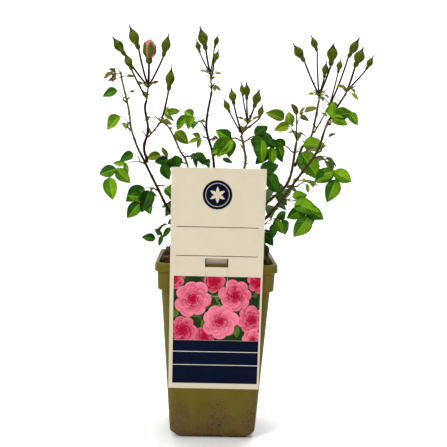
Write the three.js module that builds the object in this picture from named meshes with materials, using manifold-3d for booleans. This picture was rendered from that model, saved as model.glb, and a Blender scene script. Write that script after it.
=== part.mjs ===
// A young shrub rose in its square nursery pot, with a card label hung on the rim.
// Millimetres, +Z up. The origin is the centre of the pot's flat underside; the card faces -Y.

import * as THREE from 'three';
import { mergeVertices } from 'three/addons/utils/BufferGeometryUtils.js';
import Module from 'manifold-3d';

const wasm = await Module();
wasm.setup();

// ---- Driving dimensions ----

const GAP = 0.3;

const POT_HEIGHT = 192;
const POT_FOOT_HALF = 39;
const POT_CHAMFER = 7;
const POT_COLLAR_Z = 163;
const POT_BODY_TOP_HALF = 57.5;
const POT_COLLAR_HALF = 61;
const POT_LIP_Z = 183;
const POT_LIP_HALF = 64.5;
const POT_WALL = 2;
const POT_FLOOR = 3;
const POT_NOTCH_WIDTH = 22;
const POT_NOTCH_HEIGHT = 3;
const DRAIN_RADIUS = 5;
const DRAIN_PLACE = 0.6 * POT_FOOT_HALF;
const CORNER_SHARE = 0.2;

const GROUND = 186;
const SOIL_EDGE = 183;
// The compost's mounds: the middle of each, its reach in x and y, and its height over the edge.
const MOUNDS = [
  [0, 2, 52, 50, 5],
  [-42, -14, 16.5, 44, 25],
  [-18, 34, 30, 22, 12],
  [41, -16, 17, 42, 12],
  [28, 34, 26, 22, 10],
];

const CARD_WIDTH = 96;
const CARD_HEIGHT = 237;
const CARD_THICK = 0.8;
const CARD_FOOT_Z = 57;
const CARD_LEAN = THREE.MathUtils.degToRad(6.9);
const WINDOW_WIDTH = 24;
const WINDOW_FOOT_Z = 189.5;
const WINDOW_HEAD_Z = 199;
const HOOK_DEPTH = 15;
const HOOK_WIDTH = 22;
const HOOK_CLEARANCE = 0.9;

const CROWN_RADIUS = 10;
const CROWN_Z = 197;

const TWIG_RADIUS = 0.95;
const RACHIS_RADIUS = 0.6;
const PEDICEL_THIN = 0.6;
const PEDICEL_SHARE = 0.05;
const LEAF_SINK = 0.25;
const BUD_SINK = 1;
const SHORTEST_EDGE = 0.02;
const FIRST_SEED = 1000;
const SEED_STEP = 77;

const LEAF_THICK = 0.7;
const LEAF_SAG = 40;
const LEAF_WIDTH = 0.68;
const LEAF_WIDEST = 0.42;
const LEAF_FOLD = 0.12;
const TIP_DROP = 0.08;
const BLADE_REACH = 0.85;
const PAIR_SPACING = 0.3;
const PAIR_SHRINK = 0.22;
const PAIR_LIFT = 0.25;
const PAIR_OPENING = 64;
const PAIR_CLOSING = 6;

// ---- Colours ----

const OLIVE_PLASTIC = { color: 0x695f28, roughness: 0.4, metalness: 0 };
const COMPOST = { color: 0x3c2823, roughness: 0.95, metalness: 0 };
const CREAM_CARD = { color: 0xd7cdb4, roughness: 0.6, metalness: 0 };
const WOOD = { color: 0x5a4632, roughness: 0.85, metalness: 0 };
const CANE_BARK = { color: 0x3c2820, roughness: 0.5, metalness: 0 };
const LEAF_GREEN = { color: 0x2f6a12, roughness: 0.45, metalness: 0 };
const BUD_GREEN = { color: 0x4e6420, roughness: 0.5, metalness: 0 };

// ---- The canes: where each one runs, thickest at its foot ----

const CANES = [
  {
    name: 'cane_left',
    radii: [1.8, 1.35],
    route: [[-25, -5, 213], [-50, -10, 239], [-66, -10, 268], [-84, -10, 303]],
  },
  {
    name: 'cane_back_left',
    radii: [1.6, 1.0],
    route: [[-21, 31, 224], [-34, 50, 288], [-44, 50, 308], [-56, 50, 332], [-66, 50, 341]],
  },
  {
    name: 'cane_tall',
    radii: [1.9, 1.2],
    route: [[-3, 14, 229], [-5, 26, 297], [-14, 30, 335], [-9, 30, 375]],
  },
  {
    name: 'cane_centre',
    radii: [1.8, 1.3],
    route: [[13, -14, 235], [28, -20, 292], [27, -20, 312], [24, -20, 325]],
  },
  {
    name: 'cane_right',
    radii: [2.2, 1.5],
    route: [[32, 28, 222], [58, 43, 250], [82, 45, 275], [90, 45, 320]],
  },
  {
    name: 'cane_far_right',
    radii: [1.9, 1.1],
    route: [
      [28, -22, 217], [53, -38, 241], [84, -40, 283], [103, -40, 311], [113, -40, 341], [131, -40, 372],
    ],
  },
];

// Boughs that fork off a cane, from its tip where `at` is 1 and otherwise from its side.
const FORKS = [
  {
    name: 'cane_left_outer',
    on: 'cane_left',
    at: 1,
    radii: [1.25, 1.0],
    route: [[-88, -12, 311], [-95, -12, 331], [-97.5, -14, 350], [-105, -18, 382]],
  },
  {
    name: 'cane_left_inner',
    on: 'cane_left',
    at: 0.94,
    radii: [1.6, 1.3],
    route: [[-81, -8.5, 311], [-77, -9, 330], [-80.5, -10, 352], [-79, -10, 361]],
  },
  {
    name: 'cane_right_outer',
    on: 'cane_right',
    at: 0.85,
    radii: [1.5, 1.2],
    route: [[97, 45, 315], [106.5, 45, 327], [110.5, 44, 346], [114, 43, 369]],
  },
];

// ---- The sprigs: each is one mass that grows on one stem from a cane ----
// stem: [length, turn, rise]; leaves: [at, turn, rise, reach, blade, leaflets, roll, sag];
// buds: [at, turn, rise, pedicel, length, width, lean]. Turns run from +X towards +Y, rises
// and leans up from level, all in degrees; `at` is a share of the way along cane or stem.

const SPRIGS = [
  {
    name: 'buds_left',
    on: 'cane_left_inner',
    at: 1,
    stem: [15, 0, 84],
    leaves: [
      [0.9, 20, 50, 14, 9, 1, 60, 26],
      [0.9, 170, 26, 14, 8, 1, 60, 0],
      [0.5, 100, 20, 20, 12, 1, 0],
    ],
    buds: [
      [1, 184, 52, 41, 27, 10.5, 55],
      [1, 165, 74, 41, 32, 11.5, 67],
      [1, 300, 88, 24, 29, 15.5],
      [1, 15, 64, 36, 29, 10.5, 77],
      [0.1, 200, 60, 34, 22, 9],
    ],
  },
  {
    name: 'bud_left_inner',
    on: 'cane_left_inner',
    at: 0.42,
    stem: [20, 350, 50],
    leaves: [
      [0.7, 330, 70, 22, 14, 1, 60, 90],
    ],
    buds: [
      [1, 350, 77, 34, 30, 10.5],
    ],
  },
  {
    name: 'shoot_left_tip',
    on: 'cane_left_outer',
    at: 1,
    stem: [6, 170, 80],
    leaves: [
      [1, 182, 16, 20, 14, 3, 60],
      [0.5, 340, 0, 14, 9, 1, 60, 0],
      [1, 120, 50, 18, 11, 1, 0],
      [0.3, 200, -15, 14, 10, 1, 60, 0],
    ],
  },
  {
    name: 'leaves_left_upper',
    on: 'cane_left_outer',
    at: 0.72,
    stem: [3, 180, 40],
    leaves: [
      [1, 183, 90, 30, 19, 1, 70, 110],
      [1, 30, 60, 18, 8, 1, 60],
    ],
  },
  {
    name: 'leaves_left_outer',
    on: 'cane_left_outer',
    at: 0.36,
    stem: [3, 180, 50],
    leaves: [
      [1, 178, 98, 38, 23, 1, 70, 140],
      [1, 100, 30, 26, 16, 1, 10],
    ],
  },
  {
    name: 'leaves_left_hanging',
    on: 'cane_left',
    at: 0.93,
    stem: [4, 178, 25],
    leaves: [
      [1, 182, 1, 66, 28, 5, 80, 98],
      [1, 205, 80, 28, 16, 1, 75, 110],
    ],
  },
  {
    name: 'leaves_left_low',
    on: 'cane_left',
    at: 0.68,
    stem: [4, 190, 30],
    leaves: [
      [1, 186, -50, 42, 25, 3, 80, 0],
      [1, 170, 14, 34, 29, 1, 70, 49],
      [0.8, 230, 5, 30, 26, 1, 60, 73],
      [1, 120, -30, 30, 18, 3, 20],
    ],
  },
  {
    name: 'leaves_left_front',
    on: 'cane_left',
    at: 0.7,
    stem: [3, 350, 5],
    leaves: [
      [1, 345, -20, 20, 17, 1, 75, 20],
      [1, 15, 0, 22, 16, 1, 80, 20],
    ],
  },
  {
    name: 'leaves_left_foot',
    on: 'cane_left',
    at: 0.34,
    stem: [4, 190, 10],
    leaves: [
      [1, 188, -62, 42, 17, 3, 70, -70],
      [1, 215, -34, 18, 14, 1, 60, 17],
      [1, 130, 0, 34, 20, 3, 20],
    ],
  },
  {
    name: 'leaves_left_behind',
    on: 'cane_left',
    at: 0.45,
    stem: [4, 40, 20],
    leaves: [
      [1, 30, 10, 40, 24, 3, 20],
      [1, 90, 15, 42, 24, 3, 10],
    ],
  },
  {
    name: 'leaves_back_left_out',
    on: 'cane_back_left',
    at: 0.66,
    stem: [4, 185, 10],
    leaves: [
      [1, 184, 40, 50, 22, 3, 80, 150],
      [1, 176, 30, 42, 18, 3, 75, 42],
      [1, 120, 10, 42, 22, 3, 20],
    ],
  },
  {
    name: 'leaves_back_left_in',
    on: 'cane_back_left',
    at: 0.7,
    stem: [4, 350, 5],
    leaves: [
      [1, 350, 40, 24, 17, 1, 60, 70],
      [1, 5, -9, 24, 18, 3, 60, 14],
      [0.8, 200, 50, 38, 18, 1, 80, 150],
      [1, 50, 5, 40, 22, 3, 10],
    ],
  },
  {
    name: 'shoot_back_left_tip',
    on: 'cane_back_left',
    at: 1,
    stem: [4, 150, 40],
    leaves: [
      [1, 10, 40, 26, 17, 3, 60, 25],
      [1, 175, 20, 18, 11, 1, 30],
    ],
  },
  {
    name: 'shoot_back_left_side',
    on: 'cane_back_left',
    at: 0.92,
    stem: [6, 285, 10],
    leaves: [
      [1, 345, -40, 26, 23, 1, 70, 0],
    ],
  },
  {
    name: 'leaves_back_left_low',
    on: 'cane_back_left',
    at: 0.42,
    stem: [4, 120, 10],
    leaves: [
      [1, 110, 10, 42, 24, 3, 10],
      [1, 190, -10, 36, 22, 3, 50],
      [1, 30, 0, 38, 24, 1, 20],
    ],
  },
  {
    name: 'buds_tall',
    on: 'cane_tall',
    at: 1,
    stem: [20, 188, 84],
    leaves: [
      [0.9, 190, 33, 13, 8, 1, 60, 17],
      [0.95, 350, -10, 13, 9, 1, 60, -20],
      [0.3, 330, 8, 14, 9, 1, 70, 49],
      [0.2, 80, 25, 24, 15, 1, 0],
    ],
    buds: [
      [1, 180, 78, 26, 31, 12, 74],
      [1, 160, 60, 26, 18, 6.5, 73],
      [1, 20, 82, 28, 19, 6, 74],
      [0.6, 10, 81, 19, 18, 7, 72],
    ],
  },
  {
    name: 'leaves_tall_arch',
    on: 'cane_tall',
    at: 0.77,
    stem: [4, 176, 60],
    leaves: [
      [1, 178, 56, 40, 22, 3, 50, 100],
      [1, 110, 20, 34, 18, 3, 10],
    ],
  },
  {
    name: 'leaves_tall_mid',
    on: 'cane_tall',
    at: 0.68,
    stem: [3, 350, 30],
    leaves: [
      [1, 352, 20, 22, 18, 1, 65, 0],
      [1, 60, 10, 38, 20, 3, 10],
    ],
  },
  {
    name: 'leaves_tall_left',
    on: 'cane_tall',
    at: 0.7,
    stem: [3, 184, 20],
    leaves: [
      [1, 184, -30, 19, 15, 3, 65, -15],
      [1, 160, 40, 16, 11, 1, 50, 40],
    ],
  },
  {
    name: 'leaves_tall_low',
    on: 'cane_tall',
    at: 0.58,
    stem: [4, 330, 5],
    leaves: [
      [1, 345, -40, 20, 14, 1, 75, -20],
      [0.6, 230, -32, 24, 14, 1, 75, -9],
    ],
  },
  {
    name: 'leaves_tall_behind',
    on: 'cane_tall',
    at: 0.4,
    stem: [4, 80, 10],
    leaves: [
      [1, 70, 10, 42, 24, 3, 0],
      [1, 180, -5, 36, 22, 3, 50],
      [1, 130, 5, 38, 24, 1, 10],
    ],
  },
  {
    name: 'buds_centre',
    on: 'cane_centre',
    at: 1,
    stem: [16, 350, 64],
    leaves: [
      [0.9, 170, 50, 13, 8, 1, 60, 26],
      [1, 10, 33, 13, 8, 1, 60, 0],
      [0.6, 100, 20, 20, 13, 1, 0],
    ],
    buds: [
      [0.1, 190, 58, 26, 19, 7],
      [0.1, 150, 71, 33, 21, 9],
      [1, 185, 77, 28, 17, 6],
      [1, 140, 84, 24, 22, 8],
      [1, 20, 68, 17, 24, 10],
      [0.4, 340, 37, 20, 18, 7, 76],
    ],
  },
  {
    name: 'leaves_centre_left',
    on: 'cane_centre',
    at: 0.97,
    stem: [4, 185, 25],
    leaves: [
      [1, 184, 4, 32, 26, 3, 75, 43],
      [1, 200, 17, 28, 24, 1, 70, 68],
      [1, 165, 50, 22, 18, 1, 60, 110],
    ],
  },
  {
    name: 'leaves_centre_right',
    on: 'cane_centre',
    at: 0.95,
    stem: [4, 350, 30],
    leaves: [
      [1, 352, 45, 34, 24, 3, 70, 75],
      [1, 325, 45, 46, 26, 1, 75, 135],
      [1, 10, 17, 48, 21, 1, 85, 137],
    ],
  },
  {
    name: 'leaves_centre_low',
    on: 'cane_centre',
    at: 0.66,
    stem: [4, 350, 10],
    leaves: [
      [1, 355, 36, 46, 29, 3, 70, 90],
      [1, 80, 0, 38, 22, 3, 10],
    ],
  },
  {
    name: 'shoot_right_tip',
    on: 'cane_right',
    at: 1,
    stem: [34, 120, 87],
    leaves: [
      [0.05, 178, 71, 50, 25, 3, 70, 46],
      [0.55, 182, 100, 26, 16, 1, 60, 35],
      [0.5, 330, 84, 36, 17, 3, 60, 68],
      [0.2, 190, 52, 21, 11, 1, 60, -20],
      [0.3, 80, 15, 30, 18, 3, 10],
    ],
  },
  {
    name: 'leaves_right_in',
    on: 'cane_right',
    at: 0.93,
    stem: [4, 178, 30],
    leaves: [
      [1, 178, 52, 48, 23, 3, 85, 140],
      [1, 170, 45, 22, 17, 1, 60, 20],
      [0.8, 150, 60, 34, 17, 1, 80, 155],
    ],
  },
  {
    name: 'leaves_right_mid',
    on: 'cane_right',
    at: 0.93,
    stem: [7, 285, 10],
    leaves: [
      [1, 352, 73, 35, 29, 1, 75, 71],
      [1, 335, 13, 37, 38, 1, 75, 66],
    ],
  },
  {
    name: 'leaves_right_low',
    on: 'cane_right',
    at: 0.5,
    stem: [5, 260, 0],
    leaves: [
      [1, 190, 60, 26, 18, 3, 60, 90],
      [1, 350, 80, 34, 20, 1, 70, 120],
    ],
  },
  {
    name: 'leaves_right_behind',
    on: 'cane_right',
    at: 0.66,
    stem: [4, 90, 10],
    leaves: [
      [1, 80, 5, 42, 24, 3, 10],
      [1, 120, 0, 38, 22, 3, 10],
    ],
  },
  {
    name: 'buds_right_inner',
    on: 'cane_right_outer',
    at: 1,
    stem: [6, 100, 84],
    leaves: [
      [0.9, 175, 5, 13, 9, 1, 60, 0],
      [0.9, 20, 13, 14, 9, 1, 60, 35],
      [0.5, 70, 20, 22, 14, 1, 0],
    ],
    buds: [
      [1, 184, 64, 41, 28, 11, 55],
      [1, 130, 84, 50, 24, 8.5, 62],
      [1, 350, 70, 35, 31, 13, 85],
      [0.8, 30, 73, 21, 22, 8, 82],
    ],
  },
  {
    name: 'buds_right_outer',
    on: 'cane_right_outer',
    at: 0.55,
    stem: [36, 2, 62],
    leaves: [
      [0.7, 20, 80, 24, 12, 1, 60, 90],
    ],
    buds: [
      [1, 350, 71, 56, 29, 10.5, 62],
      [0.9, 60, 59, 47, 21, 7.5, 66],
    ],
  },
  {
    name: 'buds_far_right',
    on: 'cane_far_right',
    at: 1,
    stem: [4, 0, 72],
    leaves: [
      [1, 345, -38, 15, 11, 1, 60, 0],
      [0.8, 160, 24, 12, 8, 1, 50, 0],
      [0.8, 60, 25, 22, 13, 1, 10],
    ],
    buds: [
      [1, 10, 73, 25, 26, 12, 68],
      [1, 340, 48, 28, 18, 7, 64],
    ],
  },
  {
    name: 'leaves_far_right_top',
    on: 'cane_far_right',
    at: 0.83,
    stem: [5, 300, 10],
    leaves: [
      [1, 352, 95, 30, 23, 3, 75, 85],
      [1, 335, 65, 41, 16, 1, 70, 114],
      [0.5, 190, 85, 16, 9, 1, 60, 49],
    ],
  },
  {
    name: 'leaves_far_right_side',
    on: 'cane_far_right',
    at: 0.7,
    stem: [3, 350, 30],
    leaves: [
      [1, 355, 80, 25, 10, 1, 60, 50],
      [1, 110, 20, 34, 18, 3, 10],
    ],
  },
  {
    name: 'leaves_far_right_hang',
    on: 'cane_far_right',
    at: 0.67,
    stem: [4, 352, 15],
    leaves: [
      [1, 354, -27, 57, 29, 3, 85, 81],
      [1, 335, 10, 56, 25, 1, 80, 170],
      [1, 60, 0, 38, 20, 3, 10],
    ],
  },
  {
    name: 'leaves_far_right_mid',
    on: 'cane_far_right',
    at: 0.5,
    stem: [4, 345, 0],
    leaves: [
      [1, 350, 60, 22, 12, 1, 60, 130],
      [1, 60, 25, 42, 24, 3, 10],
    ],
  },
  {
    name: 'leaves_far_right_low',
    on: 'cane_far_right',
    at: 0.42,
    stem: [4, 350, 5],
    leaves: [
      [1, 352, 5, 63, 31, 3, 85, 129],
      [1, 340, -30, 32, 28, 1, 70, -15],
      [1, 5, 40, 20, 17, 1, 65, 28],
      [0.7, 15, 2, 45, 24, 1, 80, 68],
    ],
  },
  {
    name: 'leaves_far_right_in',
    on: 'cane_far_right',
    at: 0.36,
    stem: [3, 20, 20],
    leaves: [
      [1, 100, 10, 36, 22, 3, 10],
    ],
  },
  {
    name: 'leaves_far_right_foot',
    on: 'cane_far_right',
    at: 0.24,
    stem: [4, 345, -20],
    leaves: [
      [1, 25, 60, 52, 21, 3, 80, 130],
      [1, 330, 70, 38, 17, 1, 75, 125],
      [1, 5, 70, 30, 16, 1, 80, 150],
      [1, 80, -5, 34, 20, 3, 10],
    ],
  },
  {
    name: 'leaves_far_right_base',
    on: 'cane_far_right',
    at: 0.12,
    stem: [4, 345, -10],
    leaves: [
      [1, 345, 55, 42, 18, 1, 70, 105],
      [1, 40, 0, 38, 22, 3, 10],
    ],
  },
];

// ---- Solids ----

function solidOf(geometry) {
  const bare = geometry.clone();
  bare.deleteAttribute('normal');
  bare.deleteAttribute('uv');
  const merged = mergeVertices(bare, 1e-4);
  const corners = [];
  const index = merged.index.array;
  for (let i = 0; i < index.length; i += 3) {
    const [a, b, c] = [index[i], index[i + 1], index[i + 2]];
    if (a !== b && b !== c && c !== a) corners.push(a, b, c);
  }
  const vertProperties = Float32Array.from(merged.attributes.position.array);
  const triVerts = Uint32Array.from(corners);
  return new wasm.Manifold(new wasm.Mesh({ numProp: 3, vertProperties, triVerts }));
}

function meshOf(name, solid, finish) {
  const mesh = solid.getMesh();
  const geometry = new THREE.BufferGeometry();
  geometry.setAttribute('position', new THREE.BufferAttribute(mesh.vertProperties, 3));
  geometry.setIndex(new THREE.BufferAttribute(mesh.triVerts, 1));
  geometry.computeVertexNormals();
  const made = new THREE.Mesh(geometry, new THREE.MeshStandardMaterial(finish));
  made.name = name;
  return made;
}

function fused(solids) {
  return solids.reduce((whole, solid) => whole.add(solid));
}

// A square with rounded corners, `half` to each flat side.
function roundedSquare(half) {
  const r = half * CORNER_SHARE;
  const shape = new THREE.Shape();
  shape.moveTo(half, -half + r);
  shape.lineTo(half, half - r);
  shape.absarc(half - r, half - r, r, 0, Math.PI / 2);
  shape.absarc(-half + r, half - r, r, Math.PI / 2, Math.PI);
  shape.absarc(-half + r, -half + r, r, Math.PI, 1.5 * Math.PI);
  shape.absarc(half - r, -half + r, r, 1.5 * Math.PI, 2 * Math.PI);
  return shape;
}

// A square block from z0 to z1 whose sides slope evenly from one half width to the other.
function taperedBlock(z0, z1, half0, half1) {
  const options = { depth: z1 - z0, bevelEnabled: false, curveSegments: 1 };
  const geometry = new THREE.ExtrudeGeometry(roundedSquare(half0), options);
  const place = geometry.attributes.position;
  for (let i = 0; i < place.count; i += 1) {
    const scale = place.getZ(i) > 0 ? half1 / half0 : 1;
    place.setXYZ(i, place.getX(i) * scale, place.getY(i) * scale, place.getZ(i) + z0);
  }
  return solidOf(geometry);
}

function box(width, depth, height, x, y, z) {
  return solidOf(new THREE.BoxGeometry(width, depth, height).translate(x, y, z));
}

function cylinder(radius, height, x, y, z) {
  const geometry = new THREE.CylinderGeometry(radius, radius, height, 16);
  return solidOf(geometry.rotateX(Math.PI / 2).translate(x, y, z));
}

// ---- The pot: injection moulded, open at the top, with a collar and a rolled lip ----

const POT_KNEE = POT_CHAMFER + 1;
const POT_STEP = POT_COLLAR_Z + 3;
const POT_FLOOR_HALF = POT_FOOT_HALF + POT_FLOOR - 1.4 * POT_WALL;
const bodySlope = (POT_BODY_TOP_HALF - POT_FOOT_HALF - POT_CHAMFER) / (POT_COLLAR_Z - POT_CHAMFER);

function bodyHalf(z) {
  return POT_FOOT_HALF + POT_CHAMFER + (z - POT_CHAMFER) * bodySlope;
}

function buildPot() {
  const outside = fused([
    taperedBlock(0, POT_CHAMFER, POT_FOOT_HALF, bodyHalf(POT_CHAMFER)),
    taperedBlock(POT_CHAMFER - 1, POT_COLLAR_Z + 1, bodyHalf(POT_CHAMFER) - 1, POT_BODY_TOP_HALF),
    taperedBlock(POT_COLLAR_Z, POT_LIP_Z + 1, POT_COLLAR_HALF, POT_COLLAR_HALF + 1),
    taperedBlock(POT_LIP_Z, POT_HEIGHT, POT_LIP_HALF, POT_LIP_HALF - 0.5),
  ]);
  const cavity = fused([
    taperedBlock(POT_FLOOR, POT_KNEE, POT_FLOOR_HALF, bodyHalf(POT_KNEE) - POT_WALL),
    taperedBlock(POT_KNEE - 0.5, POT_STEP, bodyHalf(POT_KNEE) - POT_WALL, POT_BODY_TOP_HALF - POT_WALL),
    taperedBlock(POT_STEP - 0.5, POT_HEIGHT + 1, POT_COLLAR_HALF - POT_WALL, POT_COLLAR_HALF - 1),
  ]);
  const cuts = [];
  for (const [sx, sy] of [[1, 1], [1, -1], [-1, 1], [-1, -1]]) {
    cuts.push(cylinder(DRAIN_RADIUS, 4 * POT_FLOOR, sx * DRAIN_PLACE, sy * DRAIN_PLACE, 0));
  }
  const wall = POT_FOOT_HALF + POT_CHAMFER / 2;
  for (const side of [-1, 1]) {
    cuts.push(box(POT_NOTCH_WIDTH, 2 * POT_CHAMFER, 2 * POT_NOTCH_HEIGHT, 0, side * wall, 0));
    cuts.push(box(2 * POT_CHAMFER, POT_NOTCH_WIDTH, 2 * POT_NOTCH_HEIGHT, side * wall, 0, 0));
  }
  return cuts.reduce((pot, cut) => pot.subtract(cut), outside.subtract(cavity));
}

// ---- The card: a stiff printed board that leans on the pot, hooked over its lip ----

const cardFootY = -(bodyHalf(CARD_FOOT_Z) + GAP);

function cardY(z) {
  return cardFootY - (z - CARD_FOOT_Z) * Math.tan(CARD_LEAN);
}

function buildCard() {
  const board = new THREE.BoxGeometry(CARD_WIDTH, CARD_THICK, CARD_HEIGHT);
  board.translate(0, -CARD_THICK / 2, CARD_HEIGHT / 2);
  board.rotateX(CARD_LEAN);
  board.translate(0, cardFootY, CARD_FOOT_Z);
  const windowZ = (WINDOW_FOOT_Z + WINDOW_HEAD_Z) / 2;
  const opening = box(
    WINDOW_WIDTH, 20, WINDOW_HEAD_Z - WINDOW_FOOT_Z, 0, cardY(windowZ), windowZ);
  const hookY = -(POT_COLLAR_HALF - 1) + HOOK_CLEARANCE;
  const bridgeY = cardY(WINDOW_HEAD_Z);
  const bridge = box(
    HOOK_WIDTH, hookY - bridgeY + CARD_THICK, CARD_THICK, 0, (hookY + bridgeY) / 2,
    WINDOW_HEAD_Z + CARD_THICK / 2);
  const hook = box(
    HOOK_WIDTH, CARD_THICK, HOOK_DEPTH, 0, hookY, WINDOW_HEAD_Z + CARD_THICK - HOOK_DEPTH / 2);
  return solidOf(board).subtract(opening).add(bridge).add(hook);
}

// ---- The compost: fills the pot and is heaped highest at its left ----

function mound([x, y, width, depth, height]) {
  const geometry = new THREE.IcosahedronGeometry(1, 1);
  return solidOf(geometry.scale(width, depth, height).translate(x, y, SOIL_EDGE));
}

function buildSoil() {
  const inset = POT_WALL + 2 * GAP;
  const upper = POT_COLLAR_HALF - inset;
  const fill = fused([
    taperedBlock(POT_FLOOR + GAP, POT_KNEE, POT_FLOOR_HALF - 2 * GAP, bodyHalf(POT_KNEE) - inset - GAP),
    taperedBlock(POT_KNEE - 0.5, POT_STEP + 1, bodyHalf(POT_KNEE) - inset - GAP, POT_BODY_TOP_HALF - inset),
    taperedBlock(POT_STEP + GAP, SOIL_EDGE, upper, upper),
    ...MOUNDS.map(mound),
  ]);
  const seat = cylinder(CROWN_RADIUS + 4, 60, 0, 0, GROUND - GAP + 30);
  const pocket = box(WINDOW_WIDTH + 2, 8, 30, 0, -POT_COLLAR_HALF + 2, POT_HEIGHT - HOOK_DEPTH + 15);
  return fill.subtract(seat).subtract(pocket);
}

// ---- Limbs ----

function direction(turn, rise) {
  const t = THREE.MathUtils.degToRad(turn);
  const r = THREE.MathUtils.degToRad(rise);
  return new THREE.Vector3(Math.cos(r) * Math.cos(t), Math.cos(r) * Math.sin(t), Math.sin(r));
}

function curveThrough(points) {
  return new THREE.CatmullRomCurve3(points, false, 'catmullrom', 0.5);
}

// A tube along `path` that narrows evenly from its foot radius to its tip radius.
function limb(path, footRadius, tipRadius, sides, steps) {
  const section = new THREE.Shape();
  for (let i = 0; i < sides; i += 1) {
    const angle = (2 * Math.PI * i) / sides;
    const [x, y] = [Math.cos(angle), Math.sin(angle)];
    if (i === 0) section.moveTo(x, y);
    else section.lineTo(x, y);
  }
  section.closePath();
  const geometry = new THREE.ExtrudeGeometry(section, { steps, extrudePath: path, bevelEnabled: false });
  const centres = path.getSpacedPoints(steps);
  const place = geometry.attributes.position;
  const corner = new THREE.Vector3();
  for (let i = 0; i < place.count; i += 1) {
    corner.fromBufferAttribute(place, i);
    let ring = 0;
    centres.forEach((centre, k) => {
      if (corner.distanceTo(centre) < corner.distanceTo(centres[ring])) ring = k;
    });
    const radius = THREE.MathUtils.lerp(footRadius, tipRadius, ring / steps);
    corner.sub(centres[ring]).multiplyScalar(radius).add(centres[ring]);
    place.setXYZ(i, corner.x, corner.y, corner.z);
  }
  return solidOf(geometry);
}

const crownCentre = new THREE.Vector3(0, 0, CROWN_Z);
const limbs = new Map();

function addLimb(name, points, radii, steps) {
  const path = curveThrough(points);
  limbs.set(name, { path, radii, solid: limb(path, radii[0], radii[1], 6, steps) });
}

// The woody crown that every cane springs from, cut flat at ground level.
function buildCrown() {
  const side = CROWN_RADIUS;
  const profile = [[0, GROUND], [side * 0.8, GROUND], [side * 0.86, CROWN_Z - 6], [side, CROWN_Z]];
  for (let i = 1; i <= 4; i += 1) {
    const angle = (Math.PI / 2) * (i / 4);
    profile.push([i === 4 ? 0 : side * Math.cos(angle), CROWN_Z + side * Math.sin(angle)]);
  }
  const geometry = new THREE.LatheGeometry(profile.map(([x, y]) => new THREE.Vector2(x, y)), 14);
  return solidOf(geometry.rotateX(Math.PI / 2));
}

// Where a shoot of radius `foot` that heads for `aim` starts, clear of the limb it grows from.
function springPoint(parent, at, aim, foot) {
  const place = parent.path.getPointAt(at);
  const along = parent.path.getTangentAt(at);
  const out = aim.clone().sub(place).normalize();
  const share = out.dot(along);
  const slant = Math.sqrt(Math.max(0, 1 - share * share));
  if (at === 1) return place.addScaledVector(along, GAP + foot * slant);
  const across = out.addScaledVector(along, -share).normalize();
  const radius = THREE.MathUtils.lerp(parent.radii[0], parent.radii[1], at);
  return place.addScaledVector(across, radius + GAP + foot * Math.abs(share));
}

for (const cane of CANES) {
  const points = cane.route.map((p) => new THREE.Vector3(...p));
  const out = points[0].clone().sub(crownCentre).normalize();
  points.unshift(crownCentre.clone().addScaledVector(out, CROWN_RADIUS + 2 * GAP));
  addLimb(cane.name, points, cane.radii, 14);
}

for (const fork of FORKS) {
  const points = fork.route.map((p) => new THREE.Vector3(...p));
  points.unshift(springPoint(limbs.get(fork.on), fork.at, points[0], fork.radii[0]));
  addLimb(fork.name, points, fork.radii, 7);
}

// ---- Sprigs ----

// Park and Miller's generator: the same seed always gives the same plant.
function seeded(seed) {
  let state = seed;
  return (low, high) => {
    state = (state * 16807) % 2147483647;
    return low + ((high - low) * state) / 2147483647;
  };
}

// Axes of a blade that heads `along`: its side stays level, then rolls about the blade.
function bladeAxes(along, turn, roll) {
  const level = direction(turn + 90, 0);
  const up = new THREE.Vector3().crossVectors(along, level).normalize();
  const side = level.applyAxisAngle(along, THREE.MathUtils.degToRad(roll));
  up.applyAxisAngle(along, THREE.MathUtils.degToRad(roll));
  return [side, up];
}

// A leaflet: a folded blade, as thick as its stalk at its root and thin at its rim.
function leaflet(root, along, side, up, length) {
  const width = length * LEAF_WIDTH;
  const fold = width * LEAF_FOLD;
  const at = (x, y, z) => root.clone()
    .addScaledVector(along, x * length - LEAF_SINK)
    .addScaledVector(side, y * width)
    .addScaledVector(up, z);
  const points = [
    at(0, 0, LEAF_THICK / 2),
    at(0, 0, -LEAF_THICK / 2),
    at(LEAF_WIDEST, 0.5, fold),
    at(1, 0, -length * TIP_DROP),
    at(LEAF_WIDEST, -0.5, fold),
  ];
  const [top, bottom, left, tip, right] = [0, 1, 2, 3, 4];
  const geometry = new THREE.BufferGeometry().setFromPoints(points);
  geometry.setIndex([
    top, tip, left, top, right, tip, bottom, left, tip,
    bottom, tip, right, top, left, bottom, top, bottom, right,
  ]);
  return solidOf(geometry);
}

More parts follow.
